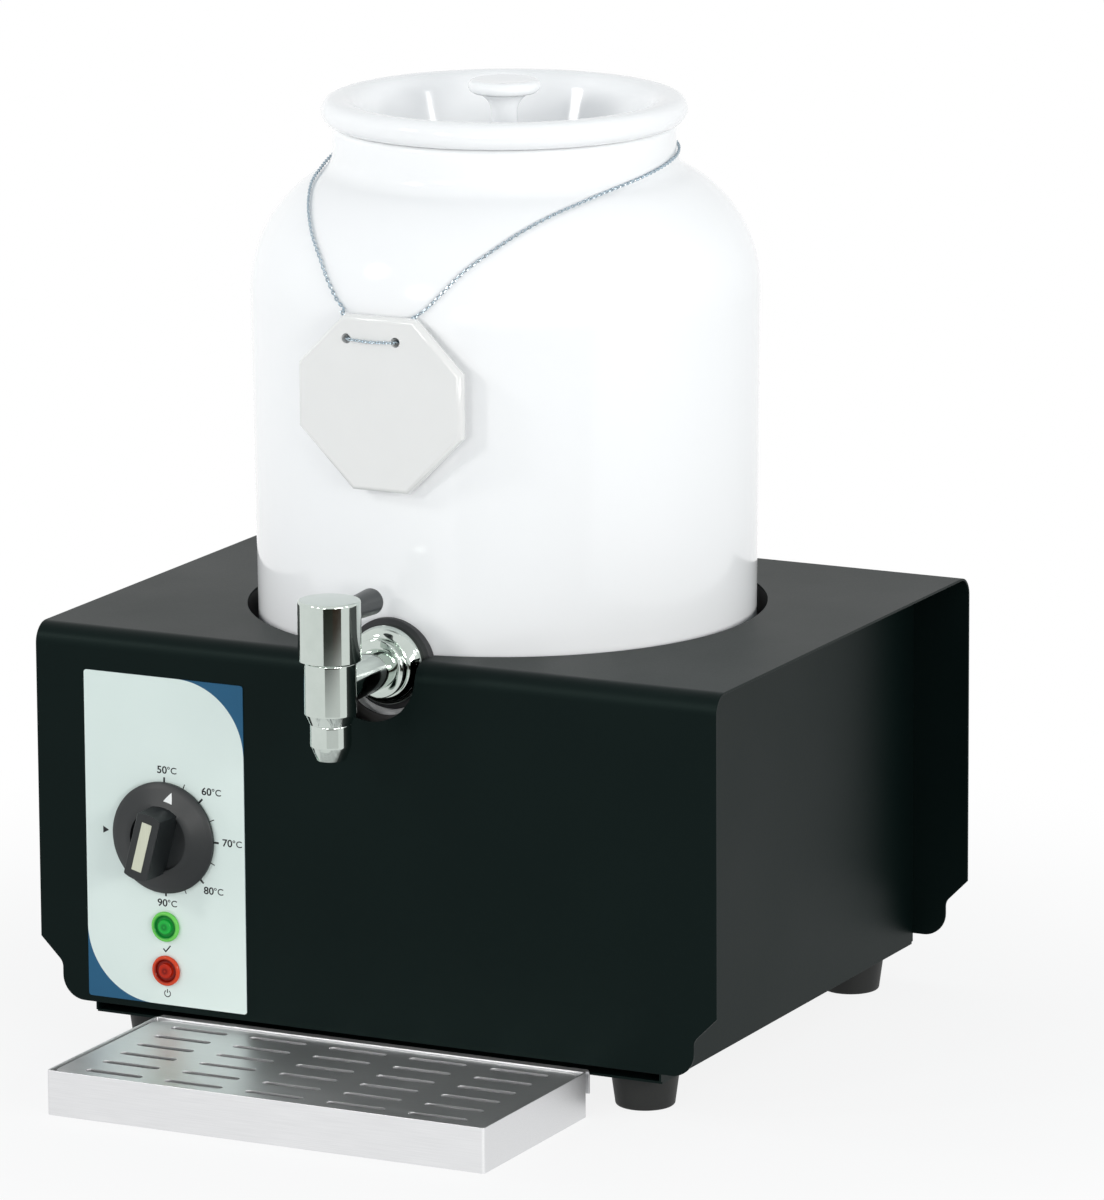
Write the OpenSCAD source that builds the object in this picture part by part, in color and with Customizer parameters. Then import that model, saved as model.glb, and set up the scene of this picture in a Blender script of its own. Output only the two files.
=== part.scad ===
// Milk dispenser for a buffet: a heated base with a water well, a ceramic jar
// with a tap at its foot, a sunken lid, a name tag on a chain and a drip tray.
// Millimetres. The front faces -Y and the table is Z = 0.

/* [Base] */
// Width of the casing
base_w = 370; // [346:1:420]
// Height of the casing's top face above the table
base_top = 213; // [206:1:240]
// Top face between the jar's hole and the front
top_margin = 18.5; // [18.5:0.5:40]
// Thickness of the casing's sheet
sheet = 1.2; // [0.8:0.1:1.6]
// Outer radius of the casing's two long bends
bend_r = 10; // [6:0.5:10]
// Height of the front panel's lower edge above the table
panel_bottom = 24.4; // [23.5:0.1:28]
// How far the side panels stand inside the casing's edges
side_inset = 30; // [20:0.5:32]
// Height of the rubber feet
foot_h = 19; // [16:0.5:19.5]

/* [Control panel] */
// Width of the printed label
label_w = 88.5; // [80:0.5:95]
// Label to the casing's left edge
label_margin = 27; // [24:0.5:34]
// Dial's centre below the casing's top face
dial_drop = 100.3; // [92:0.1:106]
// Radius of the knob's skirt
knob_r = 27.9; // [24:0.1:30]
// How far the knob stands out from the panel
knob_out = 24; // [21:0.5:28]
// Knob's pointer, in degrees clockwise from straight up
knob_turn = 15; // [0:1:90]
// Radius of a lamp's bezel
lamp_r = 7.65; // [6.5:0.05:9]
// Upper lamp's centre below the dial's centre
lamp_drop = 45.2; // [42:0.1:48]
// Distance between the two lamps
lamp_pitch = 22.3; // [19:0.1:24]

/* [Well] */
// Gap between the jar at its widest and the hole in the casing's top
hole_gap = 3.5; // [3:0.5:8]
// Depth of the well's floor below the casing's top face
well_depth = 75; // [66:1:78]

/* [Jar] */
// Largest outer radius of the jar
jar_r = 125.5; // [112:0.5:128]
// Depth of the jar's foot below the casing's top face
jar_sink = 45; // [42:1:52]
// Height of the straight body above the casing's top face
jar_body_h = 158; // [140:1:190]
// Radius of the shoulder's curve
shoulder_r = 65; // [60:1:70]
// Outer radius of the neck
neck_r = 84.4; // [80:0.2:88]
// Radius of the curve between shoulder and neck
neck_fillet = 12; // [10:1:14]
// Height of the neck's top edge above the start of the shoulder
neck_rise = 81.2; // [78:0.2:90]
// Thickness of the jar's wall
jar_wall = 8; // [7:0.5:9]

/* [Lid] */
// How far the lid's rolled rim stands out past the neck
rim_over = 5.6; // [4:0.2:7]
// Height of the rolled rim
rim_h = 13; // [12:0.5:15]
// Depth of the lid's bowl below the top of the rim
bowl_depth = 28; // [24:1:34]
// Radius of the lid's knob
lid_knob_r = 17.8; // [15:0.2:20]
// Rise of the lid's knob above the rim
lid_knob_rise = 8.2; // [4:0.2:14]

/* [Tap] */
// Tap's axis below the casing's top face
tap_drop = 6.5; // [5:0.5:10]
// From the jar's front to the axis of the tap's barrel
tap_reach = 62; // [56:1:75]
// Radius of the slot for the tap in the casing's front
slot_r = 24.5; // [23.5:0.5:26]
// Radius of the tap's cap
cap_r = 15.25; // [14.5:0.25:17]
// Height of the tap's cap
cap_h = 29.6; // [26:0.2:34]
// Radius of the tap's barrel
barrel_r = 12.75; // [12:0.25:14]
// Radius of the tap's shank
shank_r = 10; // [9.5:0.1:10.5]
// End of the lever from the barrel's axis
lever_len = 44.5; // [38:0.5:48]

/* [Tag] */
// Width of the tag
tag_w = 88; // [76:1:92]
// Height of the tag
tag_h = 85.4; // [74:0.2:92]
// Thickness of the tag
tag_t = 7; // [5:0.5:8]
// Distance between the tag's two holes
tag_hole_pitch = 26.5; // [22:0.5:30]
// Holes and chain to the left of the tag's middle
tag_hole_shift = 4; // [0:0.5:5]

/* [Drip tray] */
// Width of the tray
tray_w = 236; // [200:1:240]
// Depth of the tray
tray_d = 108.2; // [100:0.2:130]
// Height of the tray
tray_h = 22.3; // [18:0.1:22.5]
// Tray's rear wall to the casing's front face
tray_gap = 4.4; // [4:0.1:6]
// Length of a slot in the grid
slot_len = 31; // [26:0.5:33]
// Width of a slot in the grid
slot_w = 4.5; // [3:0.5:6]

/* [Hidden] */
$fn = 96;
label_t = 0.4;
side_sheet = 1;
plate_t = 1.2;

// Clearances: running, through a hole, round a shank and in the tap's barrel
run_gap = 0.3;
hole_fit = 0.2;
slip_fit = 0.05;
plug_fit = 0.06;

// Small bought-in pieces
screw_r = 2;
screw_l = 7;
bush_r = 5;
shaft_r = 3;
stat_size = 40;
stat_depth = 34;
lamp_body_r = 4.9;
lamp_body_l = 28;
gland_r = 8;
cable_r = 4.2;
heater_r = 4.2;
heater_ring_r = 70;
stud_r = 3;
nut_h = 5;
nut_r = 5.8;
bulb_r = 3.2;
bulb_len = 68;

// Jar and casing, with Y measured from the jar's axis
hole_r = jar_r + hole_gap;
base_d = 2 * (hole_r + top_margin);
face_y = -base_d / 2;
plate_y = base_d / 2 - 2.5;
plate_top = foot_h + plate_t;
screw_in = 8;
rear_screw_low = 50;
rear_screw_drop = 40;
plate_screw_y = 80;
fold_end = 20;
foot_in = [22, 29];
foot_r = 17;
foot_low_r = 14.6;
foot_bore_r = 5.5;
foot_roof = 7;
vent_x = 55;
vent_pitch = 14;
vent_l = 70;
vent_w = 5;
well_t = 1;
well_r = hole_r + 2;
well_flange_r = base_d / 2 - bend_r - 0.5;
side_x = max(base_w / 2 - side_inset, well_flange_r + side_sheet + run_gap);
well_z = base_top - well_depth;
support_r = 96;
support_t = 1.5;
notch_w = 36;
notch_h = 13;
clamp_t = 2;
clamp_over = 10;
clamp_w = 16;
clamp_z = well_z - well_t - 2 * heater_r - clamp_t;

shoulder_z = base_top + jar_body_h;
shoulder_c = jar_r - shoulder_r;
fillet_c = neck_r + neck_fillet;
fillet_a = acos((fillet_c - shoulder_c) / (shoulder_r + neck_fillet));
fillet_z = shoulder_z + (shoulder_r + neck_fillet) * sin(fillet_a);
neck_z = shoulder_z + neck_rise;
foot_z = base_top - jar_sink;
jar_taper = 2.3;
jar_foot_r = jar_r - jar_taper;

// Front panel
dial_z = base_top - dial_drop;
label_x = -base_w / 2 + label_margin;
dial_x = label_x + label_w / 2;
label_top = base_top - 20.3;
label_low = panel_bottom + 3.3;
lamp_z = [dial_z - lamp_drop, dial_z - lamp_drop - lamp_pitch];

// Tap
tap_z = base_top - tap_drop;
tap_y = -jar_r - tap_reach;
jar_y_at_tap = -jar_r + 1.8;
flange_y = jar_y_at_tap - 3;
gasket_r = 22.5;
back_nut_r = 17;
tap_tail = 30;
bore_r = 4;
plug_r = 8.5;
stem_r = 5;
pin_r = 2.5;
barrel_top = tap_z + 13.9;
barrel_low = tap_z - shank_r - 0.5;
barrel_floor = 3;
cap_z = barrel_top + run_gap;
seal_r = 0.72;
seal_z = [tap_z + 7, barrel_top - 3];
lever_z = cap_z + cap_h - 9.4;

// Lid
rim_z = neck_z + run_gap;
bead_r = rim_h / 2;
bead_c = neck_r + rim_over - bead_r;
lid_wall = 5;
lid_gap = 0.9;
bowl_r = neck_r - jar_wall - lid_gap - lid_wall;
lip_r = bead_c - 2 - bowl_r;
bowl_z = rim_z + rim_h - bowl_depth;
bowl_corner = 14;

// Tag and chain
chain_r = 1;
tag_top = shoulder_z + 7;
tag_chain_y = -jar_r - chain_r - run_gap;
tag_back = tag_chain_y - chain_r - run_gap;
tag_front = tag_back - tag_t;
tag_hole_z = tag_top - 11.5;

// Drip tray
tray_rear = face_y - tray_gap;
tray_front = tray_rear - tray_d;
tray_t = 1;
hem_y = -plate_y - run_gap;
grid_w = tray_w - 2 * tray_t - 1.4;
grid_d = tray_d - 2 * tray_t - 1.4;
grid_z = tray_h - 1;
grid_cols = 5;
grid_rows = 6;

// Power inlet at the rear
gland_x = side_x - 45;
gland_z = foot_h + 41;
gland_out = 12.4;
gland_grip = 4;

// The frame's origin is under the middle of everything
frame_y = -(tray_front - face_y + gland_out) / 2;

// The chain's way round the jar's shoulder from above the tag to the back of
// the neck: degrees from the front, and height above the shoulder's start
chain_route = [[9.3, 7.8], [11.5, 11.5], [15, 19.5], [19.5, 29], [25, 37], [32, 45], [41, 51.8], [52, 56.6],
    [64, 60], [78, 63], [93, 65.5], [110, 67.5], [130, 68.9], [148, 69.5], [164, 69.9], [180, 70]];

// Pieces inside the base
stat_back = face_y + sheet + stat_depth;
lamp_back = face_y + lamp_body_l + 9;
bulb_at = [-34, -40, well_z - well_t - run_gap - bulb_r];
block_at = [gland_x - 38, base_d / 2 - 63.5, plate_top];

// The wires inside the base, as points to pass
supply_wire = [[gland_x, base_d / 2 - 16, gland_z], [gland_x - 1, base_d / 2 - 22, gland_z - 5],
    [gland_x - 3, base_d / 2 - 33, gland_z - 20], block_at + [35, 21.3, 15]];
stat_wire = [[dial_x + 8, stat_back + 0.2, dial_z - 12], [dial_x + 9, stat_back + 8, dial_z - 16],
    [dial_x + 20, stat_back + 34, dial_z - 42], [-60, -30, 44], [0, 30, 36], block_at + [-18, 0, 15.8],
    block_at + [0.8, 8, 15]];
heater_wire = [[-9, heater_ring_r - 0.6, well_z - 35.4], [-8, 70, well_z - 46], [4, 80, well_z - 62],
    block_at + [-36, 12, 29.8], block_at + [-14, 17, 18.8], block_at + [0.8, 16, 15]];
lamp_wire = [[dial_x + 2, lamp_back + 0.2, lamp_z[1]], [dial_x + 5, lamp_back + 13, lamp_z[1] - 1],
    [-76, -60, 36], [-10, 10, 31], block_at + [-10, -22, 11.8], block_at + [12, -10, 13.8],
    block_at + [15, 2.8, 15]];
capillary_route = [[dial_x - 8, stat_back + 0.2, dial_z + 6], [dial_x - 7, stat_back + 10, dial_z + 8],
    [dial_x + 6, -80, dial_z + 10], [-84, -60, well_z - 15], [-62, -49, well_z - 15],
    [-46, -42, well_z - 9], bulb_at];

function unit(v) = v / norm(v);

// A point between p1 and p2 on a smooth curve through four points
function spline_at(p0, p1, p2, p3, t) = 0.5 * (2 * p1 + (p2 - p0) * t
    + (2 * p0 - 5 * p1 + 4 * p2 - p3) * t * t + (3 * p1 - p0 - 3 * p2 + p3) * t * t * t);

// The smooth curve through a list of points, with n steps to each stretch
function smooth(p, n) = let(m = len(p) - 1) [
    for (i = [0:m - 1], k = [0:n - 1]) spline_at(p[max(i - 1, 0)], p[i], p[i + 1], p[min(i + 2, m)], k / n),
    p[m]];

// Radius of the jar's outside at a height, grown outward by g
function jar_radius(z, g) =
    z < shoulder_z ? jar_r + g - (jar_r - jar_foot_r) * (shoulder_z - z) / (shoulder_z - foot_z)
    : z < shoulder_z + (shoulder_r + g) * sin(fillet_a)
        ? shoulder_c + sqrt(pow(shoulder_r + g, 2) - pow(z - shoulder_z, 2))
    : z < fillet_z ? fillet_c - sqrt(pow(neck_fillet - g, 2) - pow(fillet_z - z, 2))
    : neck_r + g;

// Everything is drawn about the jar's axis and then set in the frame
module in_frame() {
    translate([0, frame_y, 0]) children();
}

// Children drawn facing +Z are set facing the front, at a height, depth and width
module facing(x, y, z) {
    translate([x, y, z]) rotate([90, 0, 0]) children();
}

// A round cord along a path, with eight sides
module cord(path, r) {
    n = len(path);
    sides = 8;
    dir = [for (i = [0:n - 1]) unit(path[min(i + 1, n - 1)] - path[max(i - 1, 0)])];
    start = unit(cross(dir[0], abs(dir[0][2]) < 0.8 ? [0, 0, 1] : [1, 0, 0]));
    side = [for (i = 0, s = start; i < n; i = i + 1,
        s = i < n ? unit(s - (s * dir[i]) * dir[i]) : s) s];
    ring = [for (i = [0:n - 1], j = [0:sides - 1]) let(a = 360 * j / sides)
        path[i] + r * (cos(a) * side[i] + sin(a) * cross(dir[i], side[i]))];
    wall = [for (i = [0:n - 2], j = [0:sides - 1]) let(a = i * sides + j, b = i * sides + (j + 1) % sides)
        each [[a, a + sides, b], [b, a + sides, b + sides]]];
    polyhedron(ring, concat([[for (j = [0:sides - 1]) j]], wall,
        [[for (j = [sides - 1:-1:0]) (n - 1) * sides + j]]));
}

// A rectangle with round corners, centred
module round_rect(w, h, r) {
    square([w, h - 2 * r], center = true);
    square([w - 2 * r, h], center = true);
    for (x = [-1, 1], y = [-1, 1]) translate([x * (w / 2 - r), y * (h / 2 - r)]) circle(r);
}

// A slot with round ends, centred, along X
module slot(l, w) {
    square([l - w, w], center = true);
    for (x = [-1, 1]) translate([x * (l - w) / 2, 0]) circle(w / 2);
}

// The corner left over outside a quarter circle, for rounding an edge off
module spandrel(r) {
    difference() {
        square(r + 1);
        circle(r);
    }
}

// A pan-head screw pointing up, with its head's underside at Z = 0
module screw(r, l) {
    cylinder(r = r, h = l);
    translate([0, 0, -r]) cylinder(r = 1.9 * r, h = r);
}

// Section of the casing: front, top and rear in one bend
module casing_section(inside) {
    w = base_d - 2 * inside;
    top = base_top - inside;
    r = bend_r - inside;
    low = panel_bottom - (inside > 0 ? 1 : 0);
    translate([-w / 2, low]) square([w, top - r - low]);
    translate([-w / 2 + r, low]) square([w - 2 * r, top - low]);
    for (s = [-1, 1]) translate([s * (w / 2 - r), top - r]) circle(r);
}

// What is cut from the lower right corner of the front and rear: a sloping
// side, a small fillet, a short upright and a round corner
module corner_cut() {
    in = 12.1;
    up = 30.4;
    round_r = 12;
    fillet = 6;
    x = base_w / 2 - in;
    z = panel_bottom + up - in;
    c = [x + fillet, z - fillet * tan(22.5)];
    polygon(concat([[x, panel_bottom - 1], [x + in + 1, panel_bottom - 1], [x + in + 1, z + in + 1]],
        [for (a = [135:7.5:180]) c + fillet * [cos(a), sin(a)]]));
    translate([x - round_r, panel_bottom + round_r]) mirror([0, 1]) spandrel(round_r);
}

// The way in for the tap, from the top down to a half circle round its shank
module tap_slot() {
    facing(0, 0, tap_z) {
        cylinder(r = slot_r, h = base_d);
        translate([-slot_r, 0, 0]) cube([2 * slot_r, tap_drop + slot_r, base_d]);
    }
}

module rear_screw_places() {
    for (x = [-1, 1], z = [rear_screw_low, base_top - rear_screw_drop])
        translate([x * (side_x - screw_in), base_d / 2, z]) rotate([90, 0, 0]) children();
}

module plate_screw_places() {
    for (x = [-1, 1], y = [-1, 1]) translate([x * (side_x - screw_in), y * plate_screw_y, foot_h]) children();
}

module foot_place(x, y) {
    translate([x * (side_x - foot_in[0]), y * (base_d / 2 - foot_in[1]), 0]) children();
}

module outer_casing() {
    color([0.09, 0.1, 0.1]) in_frame() difference() {
        rotate([90, 0, 90]) linear_extrude(base_w, center = true) difference() {
            casing_section(0);
            casing_section(sheet);
        }
        translate([0, 0, base_top - 20]) cylinder(r = hole_r, h = 40);
        tap_slot();
        for (m = [0, 1]) mirror([m, 0, 0]) rotate([90, 0, 0]) linear_extrude(base_d + 2, center = true)
            corner_cut();
        facing(dial_x, face_y + 5, dial_z) cylinder(r = bush_r + hole_fit, h = 10);
        for (z = lamp_z) facing(dial_x, face_y + 5, z) cylinder(r = lamp_body_r + hole_fit, h = 10);
        facing(gland_x, base_d / 2 + 5, gland_z) cylinder(r = gland_r + hole_fit, h = 10);
        rear_screw_places() translate([0, 0, -3]) cylinder(r = screw_r + hole_fit, h = 6);
    }
}

// A side panel with flanges to the front, the rear and the base plate
module side_panel() {
    y = base_d / 2 - sheet;
    top = base_top - sheet;
    bend = bend_r - sheet;
    fold = 2 * screw_in;
    difference() {
        union() {
            translate([side_x - side_sheet, 0, 0]) rotate([90, 0, 90]) linear_extrude(side_sheet)
                polygon([[-y, plate_top], [y, plate_top], [y, top - bend], [y - bend, top],
                    [bend - y, top], [-y, top - bend]]);
            for (s = [-1, 1])
                translate([side_x - fold, s * (y - side_sheet / 2) - side_sheet / 2, plate_top + screw_in])
                    cube([fold, side_sheet, top - plate_top - 3 * screw_in]);
            translate([side_x - fold, fold_end - y, plate_top]) cube([fold, 2 * (y - fold_end), side_sheet]);
        }
        rear_screw_places() translate([0, 0, -3]) cylinder(r = screw_r + hole_fit, h = 6);
        plate_screw_places() cylinder(r = screw_r + hole_fit, h = 10);
    }
}

module left_side_panel() {
    color([0.07, 0.08, 0.08]) in_frame() mirror([1, 0, 0]) side_panel();
}

module right_side_panel() {
    color([0.07, 0.08, 0.08]) in_frame() side_panel();
}

module base_plate() {
    color([0.12, 0.12, 0.12]) in_frame() difference() {
        translate([-side_x, -plate_y, foot_h]) cube([2 * side_x, 2 * plate_y, plate_t]);
        plate_screw_places() translate([0, 0, -1]) cylinder(r = screw_r + hole_fit, h = 4);
        for (x = [-1, 1], y = [-1, 1]) foot_place(x, y) cylinder(r = screw_r + hole_fit, h = plate_top + 1);
        for (x = [-1, 1], k = [-3:3]) translate([x * vent_x, vent_pitch * k, foot_h - 1]) linear_extrude(4)
            slot(vent_l, vent_w);
    }
}

module base_plate_screws() {
    color([0.6, 0.6, 0.6]) in_frame() plate_screw_places() screw(screw_r, screw_l);
}

module rear_screws() {
    color([0.2, 0.2, 0.2]) in_frame() rear_screw_places() screw(screw_r, screw_l);
}

// A rubber foot, a little narrower at the table, hollow under its screw
module foot() {
    edge = 1.5;
    color([0.1, 0.11, 0.11]) difference() {
        rotate_extrude() {
            polygon([[0, 0], [foot_low_r - edge, 0], [foot_low_r, edge], [foot_r, foot_h], [0, foot_h]]);
            translate([foot_low_r - edge, edge]) circle(edge);
        }
        translate([0, 0, -1]) cylinder(r = foot_bore_r, h = foot_h - foot_roof + 1);
        cylinder(r = screw_r + hole_fit, h = foot_h + 1);
    }
}

module foot_front_left() { in_frame() foot_place(-1, -1) foot(); }

module foot_front_right() { in_frame() foot_place(1, -1) foot(); }

module foot_rear_left() { in_frame() foot_place(-1, 1) foot(); }

module foot_rear_right() { in_frame() foot_place(1, 1) foot(); }

module foot_screws() {
    color([0.6, 0.6, 0.6]) in_frame() for (x = [-1, 1], y = [-1, 1]) foot_place(x, y)
        translate([0, 0, foot_h - foot_roof]) screw(screw_r, foot_roof + plate_t + screw_r);
}

// The water well, hung from the underside of the casing's top
module heating_well() {
    top = base_top - sheet;
    corner = 12;
    color([0.3, 0.3, 0.3]) in_frame() {
        difference() {
            rotate_extrude() difference() {
                union() {
                    translate([0, well_z - well_t]) square([well_r + well_t, top - well_z + well_t]);
                    translate([0, top - well_t]) square([well_flange_r, well_t]);
                }
                translate([0, well_z]) difference() {
                    square([well_r, top]);
                    translate([well_r - corner, corner]) mirror([0, 1]) spandrel(corner);
                }
                translate([well_r - corner, well_z + corner]) mirror([0, 1]) spandrel(corner + well_t);
            }
            tap_slot();
        }
        translate([0, 0, clamp_z - nut_h - 3])
            cylinder(r = stud_r, h = well_z - well_t / 2 - clamp_z + nut_h + 3);
    }
}

// The ring in the well that the jar stands on, open below for the water
module jar_support() {
    color([0.75, 0.76, 0.77]) in_frame() difference() {
        translate([0, 0, well_z]) cylinder(r = support_r, h = foot_z - well_z - run_gap);
        translate([0, 0, well_z - 1]) cylinder(r = support_r - support_t, h = well_depth);
        for (a = [0:60:150]) rotate([0, 0, a]) translate([-2 * support_r, -notch_w / 2, well_z - 1])
            cube([4 * support_r, notch_w, notch_h + 1]);
    }
}

// A tubular heater bent to an open ring, with its two ends turned down
module heating_element() {
    gap = 15;
    leg = 30;
    color([0.45, 0.42, 0.4]) in_frame() translate([0, 0, well_z - well_t - heater_r]) {
        rotate([0, 0, 90 + gap / 2]) rotate_extrude(angle = 360 - gap) translate([heater_ring_r, 0])
            circle(heater_r);
        for (s = [-1, 1]) rotate([0, 0, 90 + s * gap / 2]) translate([heater_ring_r, 0, -leg])
            cylinder(r = heater_r, h = leg + 0.7 * heater_r);
    }
}

module element_clamp() {
    color([0.7, 0.7, 0.7]) in_frame() translate([0, 0, clamp_z]) difference() {
        translate([-heater_ring_r - clamp_over, -clamp_w / 2, 0])
            cube([2 * (heater_ring_r + clamp_over), clamp_w, clamp_t]);
        translate([0, 0, -1]) cylinder(r = stud_r + hole_fit, h = clamp_t + 2);
    }
}

module clamp_nut() {
    color([0.7, 0.7, 0.7]) in_frame() translate([0, 0, clamp_z - nut_h]) difference() {
        cylinder(r = nut_r, h = nut_h, $fn = 6);
        translate([0, 0, -1]) cylinder(r = stud_r + slip_fit, h = nut_h + 2);
    }
}

module overheat_cutout() {
    color([0.85, 0.82, 0.75]) in_frame() translate([34, 28, well_z - well_t - 10]) {
        cylinder(r = 8, h = 10);
        translate([-12, -3.5, 8.8]) cube([24, 7, 1.2]);
        for (x = [-4, 4]) translate([x - 0.4, -2.4, -8]) cube([0.8, 4.8, 8.5]);
    }
}

// The thermostat behind the panel, held by its bush
module thermostat_body() {
    color([0.8, 0.78, 0.7]) in_frame() facing(dial_x, face_y, dial_z) difference() {
        union() {
            translate([-stat_size / 2, -stat_size / 2, -sheet - stat_depth])
                cube([stat_size, stat_size, stat_depth]);
            translate([0, 0, -sheet - 1]) cylinder(r = bush_r, h = sheet + 4.3);
        }
        translate([0, 0, -sheet - 20]) cylinder(r = shaft_r + plug_fit, h = 40);
    }
}

module thermostat_nut() {
    color([0.75, 0.72, 0.6]) in_frame()
    facing(dial_x, face_y, dial_z) translate([0, 0, label_t]) difference() {
        cylinder(r = 8, h = 2.2, $fn = 6);
        translate([0, 0, -1]) cylinder(r = bush_r + slip_fit, h = 5);
    }
}

module capillary_tube() {
    color([0.72, 0.45, 0.3]) in_frame() cord(smooth(capillary_route, 5), 1);
}

module sensor_bulb() {
    color([0.72, 0.45, 0.3]) in_frame() translate(bulb_at) rotate([0, 90, 0])
        cylinder(r = bulb_r, h = bulb_len);
}

// A strip that holds the sensor up against the well's floor
module bulb_clip() {
    w = 12;
    t = 1;
    rise = bulb_r + run_gap;
    in_r = bulb_r + 0.1;
    color([0.75, 0.76, 0.77]) in_frame() translate(bulb_at + [bulb_len / 2 - w / 2, 0, 0]) difference() {
        union() {
            rotate([0, 90, 0]) cylinder(r = in_r + t, h = w);
            translate([0, -in_r - t, 0]) cube([w, 2 * (in_r + t), rise]);
            translate([0, -12, rise - t]) cube([w, 24, t]);
        }
        translate([-1, 0, 0]) rotate([0, 90, 0]) cylinder(r = in_r, h = w + 2);
        translate([-1, -in_r, 0]) cube([w + 2, 2 * in_r, 10]);
        translate([-1, -20, rise]) cube([w + 2, 40, 10]);
    }
}

// The printed label, with holes for the thermostat's bush and the lamps
module control_label() {
    h = label_top - label_low;
    color([0.84, 0.88, 0.86]) in_frame() facing(0, face_y, 0) linear_extrude(label_t) difference() {
        translate([label_x + label_w / 2, label_low + h / 2]) round_rect(label_w, h, 1.5);
        translate([dial_x, dial_z]) circle(bush_r + hole_fit);
        for (z = lamp_z) translate([dial_x, z]) circle(lamp_body_r + hole_fit);
    }
}

// A snap-in lamp's lens: a rolled rim, a groove and a low dome
module lamp_lens(z) {
    in_frame() facing(dial_x, face_y, z) {
        rotate_extrude() {
            translate([0, label_t]) square([lamp_r - 1.1, 1.3]);
            translate([lamp_r - 1.1, label_t + 1.1]) circle(1.1);
            translate([0, label_t]) square([lamp_r - 4, 2]);
            translate([lamp_r - 4.6, label_t + 1.9]) circle(0.6);
            translate([0, label_t]) square([lamp_r - 4.6, 2.5]);
        }
        translate([0, 0, -4]) cylinder(r = lamp_body_r, h = 4.5);
    }
}

module ready_lamp_lens() { color([0.1, 0.5, 0.25]) lamp_lens(lamp_z[0]); }

module power_lamp_lens() { color([0.75, 0.1, 0.12]) lamp_lens(lamp_z[1]); }

module lamp_bodies() {
    color([0.15, 0.15, 0.15]) in_frame() for (z = lamp_z) facing(dial_x, face_y, z) {
        translate([0, 0, -lamp_body_l]) cylinder(r = lamp_body_r, h = lamp_body_l - 4);
        for (x = [-2, 2]) translate([x - 0.4, -2.4, face_y - lamp_back]) cube([0.8, 4.8, 9.5]);
    }
}

module lamp_nuts() {
    color([0.6, 0.6, 0.6]) in_frame()
    for (z = lamp_z) facing(dial_x, face_y, z) translate([0, 0, -sheet - 1.5]) difference() {
        cylinder(r = 8, h = 1.5);
        translate([0, 0, -1]) cylinder(r = lamp_body_r + slip_fit, h = 4);
    }
}

module terminal_block() {
    color([0.88, 0.87, 0.82]) in_frame() translate(block_at) difference() {
        union() {
            cube([40, 24, 12]);
            for (k = [0:3]) translate([1 + 10 * k, 3, 11]) cube([8, 18, 8]);
        }
        for (k = [0:3], y = [7, 17]) translate([5 + 10 * k, y, 12]) cylinder(r = 2, h = 10);
    }
}

// The clamp for the mains cable, through the rear of the casing
module cable_gland() {
    color([0.12, 0.12, 0.12]) in_frame()
    translate([gland_x, base_d / 2, gland_z]) rotate([-90, 0, 0]) difference() {
        union() {
            translate([0, 0, -12]) cylinder(r = gland_r, h = 13);
            cylinder(r = 12, h = 5, $fn = 6);
            translate([0, 0, 4]) cylinder(r = 9.4, h = gland_out - 6);
            translate([0, 0, gland_out - 2.5]) cylinder(r1 = 9.4, r2 = 7.5, h = 2.5);
        }
        translate([0, 0, -13]) cylinder(r = cable_r, h = gland_out + 14);
        translate([0, 0, -13]) cylinder(r = cable_r + 1, h = 13 + gland_grip);
    }
}

module gland_nut() {
    color([0.12, 0.12, 0.12]) in_frame()
    translate([gland_x, base_d / 2 - sheet, gland_z]) rotate([90, 0, 0]) difference() {
        cylinder(r = 12, h = 5, $fn = 6);
        translate([0, 0, -1]) cylinder(r = gland_r + slip_fit, h = 7);
    }
}

module wiring() {
    color([0.55, 0.2, 0.12]) in_frame() for (w = [supply_wire, stat_wire, heater_wire, lamp_wire])
        cord(smooth(w, 4), 1.4);
}

module thermostat_shaft() {
    color([0.75, 0.75, 0.76]) in_frame() facing(dial_x, face_y, dial_z)
        translate([0, 0, -sheet - 16]) cylinder(r = shaft_r, h = sheet + 16 + knob_out - 6);
}

// The thermostat's knob: a coned skirt and a bar to turn it by
module control_knob() {
    rear = label_t + 0.8;
    floor_z = 6.2;
    color([0.2, 0.22, 0.23]) in_frame()
    facing(dial_x, face_y, dial_z) rotate([0, 0, -knob_turn]) difference() {
        union() {
            rotate_extrude() polygon([[0, 4.2], [12, 4.2], [knob_r - 2.6, rear + 1.3], [knob_r - 2, rear],
                [knob_r - 0.3, rear], [knob_r, rear + 0.3], [knob_r, rear + 1.8], [knob_r - 0.4, rear + 2.2],
                [16.2, 8.2], [15.3, 8.2], [15, floor_z], [0, floor_z]]);
            intersection() {
                rotate([90, 0, 0]) linear_extrude(40, center = true)
                    polygon([[-7.2, 5], [7.2, 5], [6.5, knob_out - 0.4], [6.1, knob_out], [-6.1, knob_out],
                        [-6.5, knob_out - 0.4]]);
                cylinder(r = 17, h = knob_out + 1);
            }
        }
        translate([0, 0, -1]) cylinder(r = shaft_r + slip_fit, h = knob_out - 4);
        translate([-2.8, -12.6, knob_out - 0.8]) cube([5.6, 25.2, 2]);
    }
}

module knob_insert() {
    color([0.78, 0.77, 0.72]) in_frame() facing(dial_x, face_y, dial_z) rotate([0, 0, -knob_turn])
        translate([-2.75, -12.55, knob_out - 0.8]) cube([5.5, 25.1, 0.9]);
}

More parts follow.
